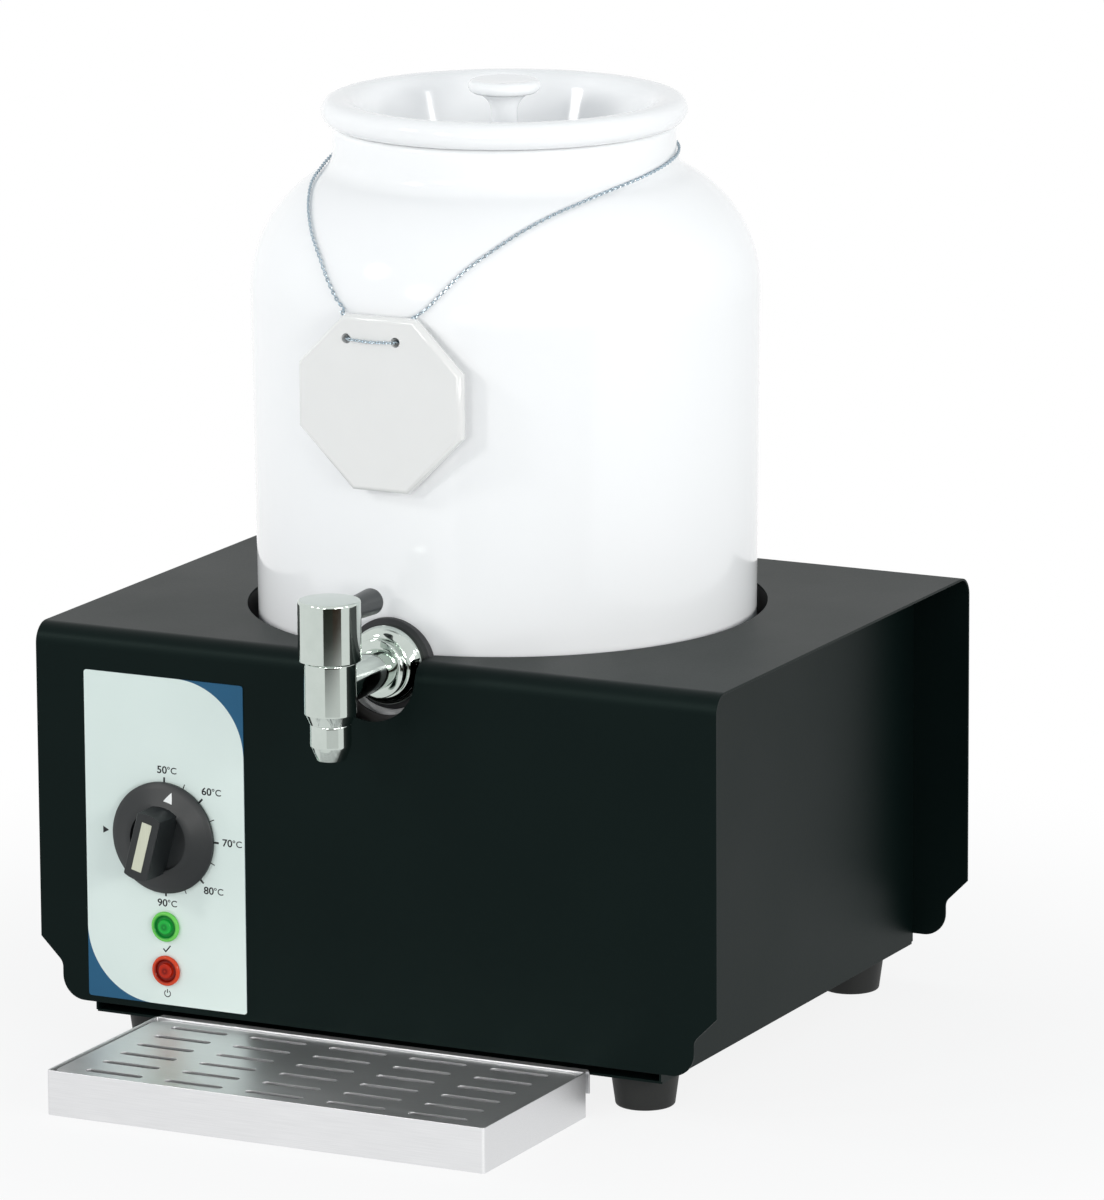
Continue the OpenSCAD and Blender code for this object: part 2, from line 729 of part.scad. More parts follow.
// Outside of the jar from its foot to its neck, grown outward by g
module jar_section(low, top, g) {
    polygon([[0, low], [jar_radius(low, g), low], [jar_r + g, shoulder_z], [0, shoulder_z]]);
    intersection() {
        translate([shoulder_c, shoulder_z]) circle(shoulder_r + g);
        translate([0, shoulder_z]) square(2 * jar_r);
    }
    translate([0, shoulder_z - 1]) square([neck_r + g, top - shoulder_z + 1]);
    difference() {
        polygon([[shoulder_c, shoulder_z], [fillet_c, fillet_z], [0, fillet_z], [0, shoulder_z]]);
        translate([fillet_c, fillet_z]) circle(neck_fillet - g);
    }
}

// The ceramic jar, thrown round, with a hole near its foot for the tap
module jar() {
    edge = 10;
    lip = 3;
    color([0.93, 0.94, 0.95]) in_frame() difference() {
        rotate_extrude() difference() {
            jar_section(foot_z, neck_z, 0);
            jar_section(foot_z + jar_wall + 3, neck_z + 1, -jar_wall);
            translate([jar_foot_r - edge, foot_z + edge]) mirror([0, 1]) spandrel(edge);
            translate([neck_r - lip, neck_z - lip]) spandrel(lip);
            translate([neck_r - jar_wall + lip, neck_z - lip]) mirror([1, 0]) spandrel(lip);
            square([support_r - 10, foot_z + 2.5]);
        }
        facing(0, 0, tap_z) cylinder(r = shank_r + run_gap, h = 2 * jar_r);
    }
}

// The jar's outside as a solid, for shaping what is pressed against it
module jar_solid(g) {
    rotate_extrude($fn = 720) polygon([[0, foot_z], [jar_foot_r + g, foot_z], [jar_r + g, shoulder_z],
        [0, shoulder_z]]);
}

module tap_gasket() {
    color([0.08, 0.08, 0.08]) in_frame() difference() {
        facing(0, flange_y + 6, tap_z) difference() {
            cylinder(r = gasket_r, h = 6);
            translate([0, 0, -1]) cylinder(r = shank_r + hole_fit, h = 8);
        }
        jar_solid(0.1);
    }
}

module tap_flange() {
    color([0.85, 0.86, 0.87]) in_frame() facing(0, flange_y, tap_z) difference() {
        rotate_extrude() {
            polygon([[0, 0], [19.5, 0], [19.5, 5], [16.5, 9.4], [15.4, 10.2], [14.4, 10.2], [14.4, 13.2],
                [13, 14.6], [0, 14.6]]);
            translate([18.3, 5.6]) circle(1.35);
        }
        translate([0, 0, -1]) cylinder(r = shank_r + slip_fit, h = 20);
    }
}

// The tap's barrel and shank in one, threaded at the rear for its nut
module tap_body() {
    color([0.85, 0.86, 0.87]) in_frame() difference() {
        union() {
            translate([0, tap_y, barrel_low]) cylinder(r = barrel_r, h = barrel_top - barrel_low);
            facing(0, jar_y_at_tap + tap_tail, tap_z)
                cylinder(r = shank_r, h = jar_y_at_tap + tap_tail - tap_y);
        }
        translate([0, tap_y, barrel_low + barrel_floor]) cylinder(r = plug_r, h = barrel_top - barrel_low);
        translate([0, tap_y, barrel_low - 1]) cylinder(r = bore_r, h = barrel_floor + 2);
        facing(0, jar_y_at_tap + tap_tail + 1, tap_z)
            cylinder(r = bore_r, h = jar_y_at_tap + tap_tail + 1 - tap_y);
    }
}

module tap_nozzle() {
    color([0.85, 0.86, 0.87]) in_frame() translate([0, tap_y, barrel_low]) difference() {
        rotate_extrude() polygon([[0, 0], [barrel_r, 0], [barrel_r - 0.4, -0.9], [shank_r + 0.3, -6],
            [shank_r, -6.6], [shank_r, -17],
            [shank_r - 0.4, -18], [7.6, -23.3], [7, -24], [0, -24]]);
        translate([0, 0, -30]) cylinder(r = bore_r, h = 40);
    }
}

module inner_gasket() {
    color([0.9, 0.9, 0.88]) in_frame() intersection() {
        facing(0, jar_y_at_tap + jar_wall + 8, tap_z) difference() {
            cylinder(r = back_nut_r, h = 12);
            translate([0, 0, -1]) cylinder(r = shank_r + hole_fit, h = 14);
        }
        translate([-jar_r, -2 * jar_r, 0])
            cube([2 * jar_r, 2 * jar_r + jar_y_at_tap + jar_wall + 4, 2 * base_top]);
        jar_solid(-jar_wall - 0.1);
    }
}

module tap_back_nut() {
    color([0.8, 0.8, 0.8]) in_frame() facing(0, jar_y_at_tap + jar_wall + 12.5, tap_z) difference() {
        cylinder(r = back_nut_r, h = 8, $fn = 6);
        translate([0, 0, -1]) cylinder(r = shank_r + slip_fit, h = 10);
    }
}

// The chain's loop round the neck, as a plain cord that lies on the jar
module neck_chain() {
    g = chain_r + 0.5;
    skew = -asin(tag_hole_shift / jar_r);
    half = smooth(chain_route, 2);
    n = len(half);
    loop = [for (k = [0:2 * n - 2]) let(p = k < n ? half[k] : half[2 * n - 2 - k],
        a = skew + (k < n ? -p[0] : p[0]), z = shoulder_z + p[1], r = jar_radius(z, g))
            [r * sin(a), -r * cos(a), z]];
    color([0.7, 0.7, 0.7]) in_frame() cord(loop, chain_r);
}

// The plug that turns in the barrel, drilled across and down
module tap_plug() {
    r = plug_r - plug_fit;
    low = barrel_low + barrel_floor + hole_fit;
    color([0.9, 0.9, 0.88]) in_frame() translate([0, tap_y, 0]) difference() {
        union() {
            translate([0, 0, low]) cylinder(r = r, h = barrel_top - low);
            translate([0, 0, barrel_top - 1]) cylinder(r = stem_r, h = cap_h - 5);
        }
        translate([0, 0, tap_z]) rotate([0, 90, 0]) cylinder(r = bore_r, h = 30, center = true);
        translate([0, 0, low - 1]) cylinder(r = bore_r, h = tap_z - low + 1);
        for (z = seal_z) translate([0, 0, z]) difference() {
            cylinder(r = plug_r + 1, h = 2 * seal_r + hole_fit, center = true);
            cylinder(r = plug_r - plug_fit - 2 * seal_r - hole_fit, h = 4 * seal_r, center = true);
        }
        translate([0, 0, lever_z]) rotate([-90, 0, 0]) cylinder(r = pin_r + slip_fit, h = 10);
    }
}

module plug_seals() {
    color([0.15, 0.15, 0.15]) in_frame() for (z = seal_z)
        translate([0, tap_y, z]) rotate_extrude() translate([plug_r - plug_fit - seal_r - slip_fit, 0])
            circle(seal_r);
}

// The chromed cap that turns the plug
module tap_cap() {
    edge = 1.2;
    color([0.87, 0.88, 0.89]) in_frame() translate([0, tap_y, cap_z]) difference() {
        rotate_extrude() difference() {
            square([cap_r, cap_h]);
            translate([cap_r - edge, cap_h - edge]) spandrel(edge);
            translate([cap_r - 0.6, 0.6]) mirror([0, 1]) spandrel(0.6);
        }
        translate([0, 0, -1]) cylinder(r = stem_r + slip_fit, h = cap_h - 4);
        translate([0, 0, lever_z - cap_z]) rotate([-90, 0, 0]) cylinder(r = pin_r + slip_fit, h = 40);
    }
}

module lever_pin() {
    color([0.75, 0.75, 0.76]) in_frame() translate([0, tap_y + 1, lever_z]) rotate([-90, 0, 0])
        cylinder(r = pin_r, h = lever_len - 12);
}

// The lever's grip, a rod that flares to a rounded end
module tap_lever() {
    start = cap_r + 0.2;
    r0 = 5.2;
    r1 = 6.5;
    edge = 2;
    l = lever_len - start;
    color([0.14, 0.15, 0.16]) in_frame()
    translate([0, tap_y + start, lever_z]) rotate([-90, 0, 0]) difference() {
        rotate_extrude() {
            polygon([[0, 0], [r0, 0], [r1, l - edge], [r1 - edge, l - edge], [r1 - edge, l], [0, l]]);
            translate([r1 - edge, l - edge]) circle(edge);
        }
        translate([0, 0, -1]) cylinder(r = pin_r + slip_fit, h = lever_len - 8 - start);
    }
}

// Section of the lid: a rolled rim, a lip that turns down into a sunken bowl
module lid_section() {
    top = rim_z + rim_h;
    c = bead_c - 2;
    corner_z = bowl_z + bowl_corner;
    translate([bead_c, rim_z + bead_r]) circle(bead_r);
    translate([c - 6, rim_z]) square([8, bead_r]);
    translate([c, rim_z + 1]) square([2, rim_h - 1]);
    intersection() {
        translate([c, top - lip_r]) circle(lip_r);
        translate([bowl_r, rim_z]) square([lip_r, rim_h]);
    }
    translate([bowl_r, corner_z]) square([lid_wall, rim_z + bead_r - corner_z]);
    intersection() {
        translate([bowl_r - bowl_corner, corner_z]) difference() {
            circle(bowl_corner + lid_wall);
            circle(bowl_corner);
        }
        translate([bowl_r - bowl_corner, bowl_z - lid_wall])
            square([bowl_corner + lid_wall, bowl_corner + lid_wall]);
    }
    translate([0, bowl_z - lid_wall]) square([bowl_r - bowl_corner, lid_wall]);
}

// Section of the knob in the middle of the bowl
module lid_knob_section() {
    top = rim_z + rim_h + lid_knob_rise;
    edge = 3.2;
    stem = 6.5;
    flare = lid_knob_r - stem - 1.5;
    head = top - 2 * edge;
    translate([0, head]) square([lid_knob_r - edge, 2 * edge]);
    translate([lid_knob_r - edge, head + edge]) circle(edge);
    difference() {
        translate([0, head - flare]) square([lid_knob_r - edge, flare + 0.5]);
        translate([stem + flare, head - flare]) circle(flare);
    }
    translate([0, bowl_z - 1]) square([stem, head - bowl_z]);
    difference() {
        translate([0, bowl_z - 0.5]) square([stem + 6, 6.5]);
        translate([stem + 6, bowl_z + 6]) circle(6);
    }
}

module lid() {
    color([0.93, 0.94, 0.95]) in_frame() rotate_extrude() {
        lid_section();
        lid_knob_section();
    }
}

// Outline of the tag, drawn in by d all round
module tag_outline(d) {
    w = tag_w / 2 - d;
    top = tag_top - d;
    low = tag_top - tag_h + d;
    cut = 25 - d * (2 - sqrt(2));
    low_cut = 29 - d * (2 - sqrt(2));
    polygon([[w - cut, top], [w, top - cut], [w, low + low_cut], [w - low_cut, low],
        [low_cut - w, low], [-w, low + low_cut], [-w, top - cut], [cut - w, top]]);
}

// The name tag: an eight-sided ceramic plate with soft edges and two holes
module tag_plate() {
    soft = min(2.6, tag_t / 2 - 0.5);
    color([0.94, 0.94, 0.94]) in_frame() difference() {
        hull() for (a = [0:22.5:90]) facing(0, tag_back - soft * (1 - sin(a)), 0)
            linear_extrude(tag_t - 2 * soft * (1 - sin(a))) tag_outline(soft * (1 - cos(a)));
        for (s = [-1, 1]) facing(s * tag_hole_pitch / 2 - tag_hole_shift, tag_back + 2, tag_hole_z)
            cylinder(r = 2.4, h = tag_t + 4);
    }
}

// The chain's stitch through the tag: behind, through a hole, across the front
module tag_chain() {
    x = tag_hole_pitch / 2;
    front_y = tag_front - chain_r - 0.4;
    z = tag_hole_z;
    half = [[x + 6.2, tag_chain_y, tag_top - 1], [x + 3.4, tag_chain_y, z + 5.6],
        [x + 0.8, tag_chain_y, z + 1.2],
        [x, tag_back - 1.6, z], [x, tag_front + 1.6, z], [x - 1.2, front_y, z], [x - 5, front_y, z - 0.2]];
    n = len(half);
    path = [for (k = [0:2 * n]) k < n ? [-half[k][0], half[k][1], half[k][2]]
        : k == n ? [0, front_y, z - 0.6] : half[2 * n - k]];
    color([0.7, 0.7, 0.7]) in_frame() translate([-tag_hole_shift, 0, 0]) cord(path, chain_r);
}

// The loose tray in front, with a hem that tucks under the casing
module drip_tray() {
    r = 1.5;
    leg = 12.5;
    curl = 3;
    color([0.8, 0.81, 0.82]) in_frame() {
        translate([0, (tray_front + tray_rear) / 2, 0]) difference() {
            linear_extrude(tray_h) round_rect(tray_w, tray_d, r);
            translate([0, 0, tray_t]) linear_extrude(tray_h)
                round_rect(tray_w - 2 * tray_t, tray_d - 2 * tray_t, r - tray_t / 2);
        }
        rotate([90, 0, 90]) linear_extrude(tray_w - 2 * r, center = true) {
            translate([tray_rear - 0.5, tray_h - tray_t]) square([hem_y - tray_rear - curl + 0.5, tray_t]);
            translate([hem_y - tray_t, tray_h - leg]) square([tray_t, leg - curl]);
            translate([hem_y - curl, tray_h - curl]) intersection() {
                difference() {
                    circle(curl);
                    circle(curl - tray_t);
                }
                square(curl);
            }
        }
    }
}

// The grid that lies in the tray, standing on two folded sides
module drip_grid() {
    r = 7;
    pitch_x = (grid_w - 14) / grid_cols;
    pitch_y = (grid_d - 3) / grid_rows;
    color([0.7, 0.71, 0.72]) in_frame() translate([0, (tray_front + tray_rear) / 2, 0]) {
        translate([0, 0, grid_z - 1]) linear_extrude(1) difference() {
            round_rect(grid_w, grid_d, r);
            for (i = [0:grid_cols - 1], j = [0:grid_rows - 1])
                translate([(i - (grid_cols - 1) / 2) * pitch_x, (j - (grid_rows - 1) / 2) * pitch_y])
                    slot(slot_len, slot_w);
        }
        for (s = [-1, 1]) translate([s * (grid_w / 2 - 0.5) - 0.5, r - grid_d / 2, tray_t + run_gap])
            cube([1, grid_d - 2 * r, grid_z - tray_t - run_gap - 0.5]);
    }
}

outer_casing();
left_side_panel();
right_side_panel();
base_plate();
base_plate_screws();
rear_screws();
foot_front_left();
foot_front_right();
foot_rear_left();
foot_rear_right();
foot_screws();
heating_well();
jar_support();
heating_element();
element_clamp();
clamp_nut();
overheat_cutout();
thermostat_body();
thermostat_nut();
capillary_tube();
sensor_bulb();
bulb_clip();
control_label();
ready_lamp_lens();
power_lamp_lens();
lamp_bodies();
lamp_nuts();
terminal_block();
cable_gland();
gland_nut();
wiring();
thermostat_shaft();
control_knob();
knob_insert();
jar();
tap_gasket();
tap_flange();
tap_body();
tap_nozzle();
inner_gasket();
tap_back_nut();
neck_chain();
tap_plug();
plug_seals();
tap_cap();
lever_pin();
tap_lever();
lid();
tag_plate();
tag_chain();
drip_tray();
drip_grid();
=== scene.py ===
"""The looks of a milk dispenser: a ceramic jar with a tap, in a heated base with a drip tray."""

import bmesh
import bpy
import numpy as np
from mathutils import Matrix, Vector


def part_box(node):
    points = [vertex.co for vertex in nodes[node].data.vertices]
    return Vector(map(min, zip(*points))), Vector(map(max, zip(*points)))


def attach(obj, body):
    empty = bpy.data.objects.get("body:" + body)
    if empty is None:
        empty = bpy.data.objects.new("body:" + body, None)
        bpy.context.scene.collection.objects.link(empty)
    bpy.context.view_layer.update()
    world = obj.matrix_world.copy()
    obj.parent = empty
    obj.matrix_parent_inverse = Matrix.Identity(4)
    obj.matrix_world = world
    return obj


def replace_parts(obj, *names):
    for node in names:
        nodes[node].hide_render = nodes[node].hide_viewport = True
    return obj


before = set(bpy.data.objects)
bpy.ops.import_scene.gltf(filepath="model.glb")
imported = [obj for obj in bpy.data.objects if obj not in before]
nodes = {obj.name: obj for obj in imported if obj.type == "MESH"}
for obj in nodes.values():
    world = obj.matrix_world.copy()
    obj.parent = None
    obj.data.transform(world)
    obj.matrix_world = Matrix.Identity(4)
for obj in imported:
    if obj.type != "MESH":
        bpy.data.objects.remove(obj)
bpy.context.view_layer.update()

# The camera: a long lens to the right of the front and a little above the
# jar's rim, turned a third of a degree.
azimuth, elevation, roll = np.radians([26.67, 12.55, -0.33])
camera_distance = 4.3
looked_at = np.array([0.01964, 0.05997, 0.21228])
back = np.array([np.sin(azimuth) * np.cos(elevation), -np.cos(azimuth) * np.cos(elevation),
                 np.sin(elevation)])
level = np.array([np.cos(azimuth), np.sin(azimuth), 0])
plumb = np.cross(back, level)
right = np.cos(roll) * level + np.sin(roll) * plumb
up = np.cos(roll) * plumb - np.sin(roll) * level
camera = bpy.data.objects.new("camera", bpy.data.cameras.new("camera"))
camera.data.sensor_fit = "VERTICAL"
camera.data.sensor_height = 36
camera.data.lens = 260.08
camera.data.clip_end = 60
camera.matrix_world = Matrix(np.vstack([
    np.column_stack([right, up, back, looked_at + camera_distance * back]), [0, 0, 0, 1]]).tolist())
bpy.context.scene.collection.objects.link(camera)
bpy.context.scene.camera = camera
bpy.context.scene.view_settings.view_transform = "Standard"


# The studio: a pale table that fades to white, an even white surround, a ring of
# round lamps and three wide ones that fill the shadows. Two dark flags that lie
# on the table in front, below the picture, give the chrome its bands.
class Value:
    """A socket in a node tree. Sums, products and comparisons of values add Math nodes."""

    def __init__(self, tree, socket=None):
        self.tree = tree
        self.socket = socket

    def node(self, kind, settings, inputs, out=0):
        """Adds a node of a type: its settings first, then numbers, colours or values for its sockets."""
        made = self.tree.nodes.new("ShaderNode" + kind)
        for name, setting in settings.items():
            if name == "stops":
                for stop in setting[1:-1]:
                    made.color_ramp.elements.new(stop[0])
                for element, (place, colour) in zip(made.color_ramp.elements, setting):
                    element.position = place
                    element.color = (*colour, 1)
            else:
                setattr(made, name, setting)
        for name, given in inputs.items():
            if isinstance(given, Value):
                self.tree.links.new(given.socket, made.inputs[name])
            else:
                made.inputs[name].default_value = given
        return Value(self.tree, made.outputs[out] if len(made.outputs) else None)

    def math(self, operation, *values):
        return self.node("Math", {"operation": operation}, dict(enumerate(values)))

    def __add__(self, other):
        return self.math("ADD", self, other)

    def __sub__(self, other):
        return self.math("SUBTRACT", self, other)

    def __rsub__(self, other):
        return self.math("SUBTRACT", other, self)

    def __mul__(self, other):
        return self.math("MULTIPLY", self, other)

    def __truediv__(self, other):
        return self.math("DIVIDE", self, other)

    def __pow__(self, other):
        return self.math("POWER", self, other)

    def most(self, other):
        return self.math("MAXIMUM", self, other)

    def ease(self, low, high):
        """0 below low, 1 above high and smooth between."""
        return self.node("MapRange", {"interpolation_type": "SMOOTHSTEP"},
                         {"Value": self, "From Min": low, "From Max": high})

    def mix(self, first, second):
        """From the first colour to the second as this value goes from 0 to 1."""
        colours = [c if isinstance(c, Value) else (*c, 1) for c in (first, second)]
        return self.node("Mix", {"data_type": "RGBA"}, {0: self, 6: colours[0], 7: colours[1]}, 2)

    def place(self, scale=(1, 1, 1)):
        """Where a point of the surface is in the frame, in metres, scaled for a pattern."""
        point = self.node("TexCoord", {}, {}, "Object")
        return self.node("Mapping", {}, {"Vector": point, "Scale": scale})

    def along(self, axis):
        """How far a point of the surface is along one axis of the frame, in metres."""
        return self.node("SeparateXYZ", {}, {"Vector": self.place()}, axis)

    def noise(self, scale, detail=2.0, stretch=(1, 1, 1)):
        """Cloudy noise from 0 to 1, with so many lumps to the metre."""
        return self.node("TexNoise", {}, {"Vector": self.place(stretch), "Scale": scale, "Detail": detail})

    def relief(self, height, depth, strength=1.0):
        """A normal for a surface that rises by up to depth metres."""
        return self.node("Bump", {}, {"Height": height, "Distance": depth, "Strength": strength}, "Normal")

    def finish(self, **looks):
        """Ends the material with one coated surface of these looks."""
        names = {"colour": "Base Color", "rough": "Roughness", "metal": "Metallic", "normal": "Normal",
                 "coat": "Coat Weight", "coat_rough": "Coat Roughness", "specular": "Specular IOR Level",
                 "glint": "Specular Tint", "glow": "Emission Color", "glow_strength": "Emission Strength"}
        looks = {names[k]: (*v, 1) if isinstance(v, tuple) else v for k, v in looks.items()}
        shader = self.node("BsdfPrincipled", {}, looks)
        self.node("OutputMaterial", {}, {"Surface": shader})


def new_material(name):
    """An empty node material, and the value that its nodes are added from."""
    material = bpy.data.materials.new(name)
    material.use_nodes = True
    material.node_tree.nodes.clear()
    return material, Value(material.node_tree)


def shown_rays(root):
    """1 for the camera's rays and for those that metal and glass throw on."""
    kinds = [root.node("LightPath", {}, {}, "Is %s Ray" % kind)
             for kind in ("Camera", "Glossy", "Transmission")]
    return kinds[0].most(kinds[1]).most(kinds[2])


def studio_plane(name, corners, colour, white_near, white_far, fade):
    """A flat sheet of the studio, shown as partly white: one share by the part, another past the fade."""
    mesh = bpy.data.meshes.new(name)
    mesh.from_pydata(corners, [], [tuple(range(len(corners)))])
    made = bpy.data.objects.new(name, mesh)
    bpy.context.scene.collection.objects.link(made)
    material, root = new_material(name)
    away = root.node("VectorMath", {"operation": "LENGTH"}, {0: root.place()}, "Value")
    share = away.ease(*fade) * (white_far - white_near) + white_near
    sheet = root.node("BsdfDiffuse", {}, {"Color": (*colour, 1)})
    white = root.node("Emission", {}, {"Color": (1, 1, 1, 1), "Strength": 1.0})
    root.node("OutputMaterial", {}, {
        "Surface": root.node("MixShader", {}, {0: shown_rays(root) * share, 1: sheet, 2: white})})
    mesh.materials.append(material)
    return made


table_half = 14
table_corners = [(-table_half, -table_half, 0), (table_half, -table_half, 0),
                 (table_half, table_half, 0), (-table_half, table_half, 0)]
table_grey, table_white, table_fade = (0.62, 0.63, 0.64), (0.86, 1.0), (0.25, 0.62)
studio_plane("table", table_corners, table_grey, *table_white, table_fade)
flag_reach = np.array([0.62, 0.62, 3.2, 3.2])
flag_lift, flag_white, flag_fade = 0.002, (0.8, 0.0), (0.93, 1.17)
flag_from_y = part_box("tap_cap")[0].y
for flag_name, left_turn, right_turn, flag_colour in (
        ("flag_left", 6, 41, (0.022, 0.024, 0.018)), ("flag_right", 41, 72, (0.03, 0.017, 0.01))):
    flag_turns = np.radians([left_turn, right_turn, right_turn, left_turn])
    corners = np.column_stack([flag_reach * np.sin(flag_turns),
                               flag_from_y - flag_reach * np.cos(flag_turns), np.full(4, flag_lift)])
    flag = studio_plane(flag_name, corners.tolist(), flag_colour, *flag_white, flag_fade)
    flag.visible_camera = False
    flag.visible_diffuse = False
    flag.visible_shadow = False

world = bpy.data.worlds.new("surround")
world.use_nodes = True
world.node_tree.nodes.clear()
air = Value(world.node_tree)
seen = shown_rays(air)
soft_light, soft_blue = 0.4, (0.84, 0.93, 1.0)
sky = air.node("Background", {}, {"Color": seen.mix(soft_blue, (1, 1, 1)),
                                  "Strength": seen * (1 - soft_light) + soft_light})
air.node("OutputWorld", {}, {"Surface": sky})
bpy.context.scene.world = world


shoulder_at = np.array([0, 0.05, 0.39])
lamp_white = (1.0, 0.985, 0.96)


def new_lamp(name, turn, rise, distance, size, power, mirrored):
    """A round lamp that looks at the shoulder from so many degrees round and up, mirrored in gloss or not."""
    turn, rise = np.radians([turn, rise])
    out = np.array([np.sin(turn) * np.cos(rise), -np.cos(turn) * np.cos(rise), np.sin(rise)])
    across = np.array([np.cos(turn), np.sin(turn), 0])
    lamp = bpy.data.objects.new(name, bpy.data.lights.new(name, "AREA"))
    lamp.data.shape = "DISK"
    lamp.data.size = size
    lamp.data.energy = power
    lamp.data.color = lamp_white
    lamp.visible_glossy = mirrored
    lamp.matrix_world = Matrix(np.vstack([
        np.column_stack([across, np.cross(out, across), out, shoulder_at + distance * out]),
        [0, 0, 0, 1]]).tolist())
    bpy.context.scene.collection.objects.link(lamp)


ring_away, ring_size, ring_power = 3.1, 0.5, 13.2
for k, (turn, rise) in enumerate([(-39, 29), (-13, 19), (10, 5), (49, 5), (59, 9), (71, 14), (94, 22)]):
    new_lamp("ring_lamp_%d" % k, turn, rise, ring_away, ring_size, ring_power, True)
new_lamp("left_lamp", -85, 13, 3.1, 1.8, 40, False)
new_lamp("right_lamp", 125, 15, 3.1, 1.8, 14, False)
new_lamp("top_lamp", 170, 76, 2.6, 1.6, 12, False)


# The chain: fine steel curb links, looped round the jar's neck and threaded
# through the tag's two holes. It lies on the shoulder under its own weight.
def smooth_line(points, steps):
    """A Catmull-Rom curve through points, with so many steps to each stretch."""
    p = np.asarray(points, float)
    ends = np.vstack([p[:1], p, p[-1:]])
    t = (np.arange(steps) / steps)[None, :, None]
    a, b, c, d = (ends[i:len(p) - 1 + i][:, None] for i in range(4))
    curve = 0.5 * (2 * b + (c - a) * t + (2 * a - 5 * b + 4 * c - d) * t ** 2
                   + (3 * b - a - 3 * c + d) * t ** 3)
    return np.vstack([curve.reshape(-1, p.shape[1]), p[-1:]])


def evenly(line, step):
    """The same line with points a step apart."""
    along = np.concatenate([[0], np.cumsum(np.linalg.norm(np.diff(line, axis=0), axis=1))])
    spots = np.linspace(0, along[-1], int(round(along[-1] / step)) + 1)
    return np.stack([np.interp(spots, along, line[:, k]) for k in range(3)], axis=1)


def grid_faces(rows, columns, loop_rows, loop_columns):
    """Corner indices of the quads between neighbours on a grid, closed round where it loops."""
    i = np.arange(rows if loop_rows else rows - 1)[:, None]
    j = np.arange(columns if loop_columns else columns - 1)[None, :]
    i2, j2 = (i + 1) % rows, (j + 1) % columns
    corners = [a * columns + b for a, b in ((i, j), (i, j2), (i2, j2), (i2, j))]
    return np.stack(corners, axis=-1).reshape(-1, 4)


def new_piece(name, points, faces, material, body):
    """A mesh piece from points and quads, merged at its poles and seams, smooth between its sharp edges."""
    mesh = bpy.data.meshes.new(name)
    mesh.from_pydata(np.asarray(points, float).reshape(-1, 3), [], np.asarray(faces).tolist())
    work = bmesh.new()
    work.from_mesh(mesh)
    bmesh.ops.remove_doubles(work, verts=work.verts, dist=1e-7)
    bmesh.ops.dissolve_degenerate(work, edges=work.edges, dist=1e-8)
    bmesh.ops.recalc_face_normals(work, faces=work.faces)
    work.to_mesh(mesh)
    work.free()
    mesh.polygons.foreach_set("use_smooth", np.ones(len(mesh.polygons), bool))
    mesh.set_sharp_from_angle(angle=np.radians(38))
    mesh.materials.append(material)
    made = bpy.data.objects.new(name, mesh)
    bpy.context.scene.collection.objects.link(made)
    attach(made, body)
    return made


def chain_links(name, line, body):
    """Oval links along a line: a thin ring drawn out along the chain, each turned a quarter from the last."""
    link_pitch, link_half_length, link_half_width, wire = 0.0019, 0.00152, 0.001, 0.00034
    spots = evenly(line, link_pitch)
    along = np.gradient(spots, axis=0)
    along /= np.linalg.norm(along, axis=1)[:, None]
    side = np.cross(along, [0, 0, 1.0])
    side[np.linalg.norm(side, axis=1) < 0.1] = (1, 0, 0)
    side /= np.linalg.norm(side, axis=1)[:, None]
    lift = np.cross(side, along)
    turn = np.radians(45) * np.where(np.arange(len(spots)) % 2, 1, -1)[:, None]
    side, lift = np.cos(turn) * side + np.sin(turn) * lift, np.cos(turn) * lift - np.sin(turn) * side
    ring, tube = 10, 4
    u = 2 * np.pi * np.arange(ring)[:, None] / ring
    v = 2 * np.pi * np.arange(tube)[None, :] / tube
    x = np.cos(u) * (link_half_length - wire + wire * np.cos(v))
    y = np.sin(u) * (link_half_width - wire + wire * np.cos(v))
    z = wire * np.sin(v) + 0 * u
    local = np.stack([x, y, z], axis=-1).reshape(1, -1, 3)
    ways = enumerate((along, side, lift))
    points = spots[:, None] + sum(local[..., k:k + 1] * way[:, None] for k, way in ways)
    quads = grid_faces(ring, tube, True, True)
    faces = (quads[None] + (np.arange(len(spots)) * ring * tube)[:, None, None]).reshape(-1, 4)
    made = new_piece(name, points, faces, chain_steel, body)
    return made


chain_steel, root = new_material("chain_steel")
tarnish = root.noise(900)
root.finish(colour=tarnish.mix((0.34, 0.42, 0.48), (0.52, 0.6, 0.65)), metal=1.0, rough=tarnish * 0.2 + 0.16)

jar_low, jar_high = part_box("jar")
axis_y = (jar_low.y + jar_high.y) / 2
jar_r = (jar_high.x - jar_low.x) / 2
shoulder_z = jar_high.z - 0.0812
shoulder_r, neck_r, neck_fillet = 0.065, 0.0844, 0.012
shoulder_c = jar_r - shoulder_r
fillet_c = neck_r + neck_fillet
fillet_turn = np.arccos((fillet_c - shoulder_c) / (shoulder_r + neck_fillet))
fillet_z = shoulder_z + (shoulder_r + neck_fillet) * np.sin(fillet_turn)

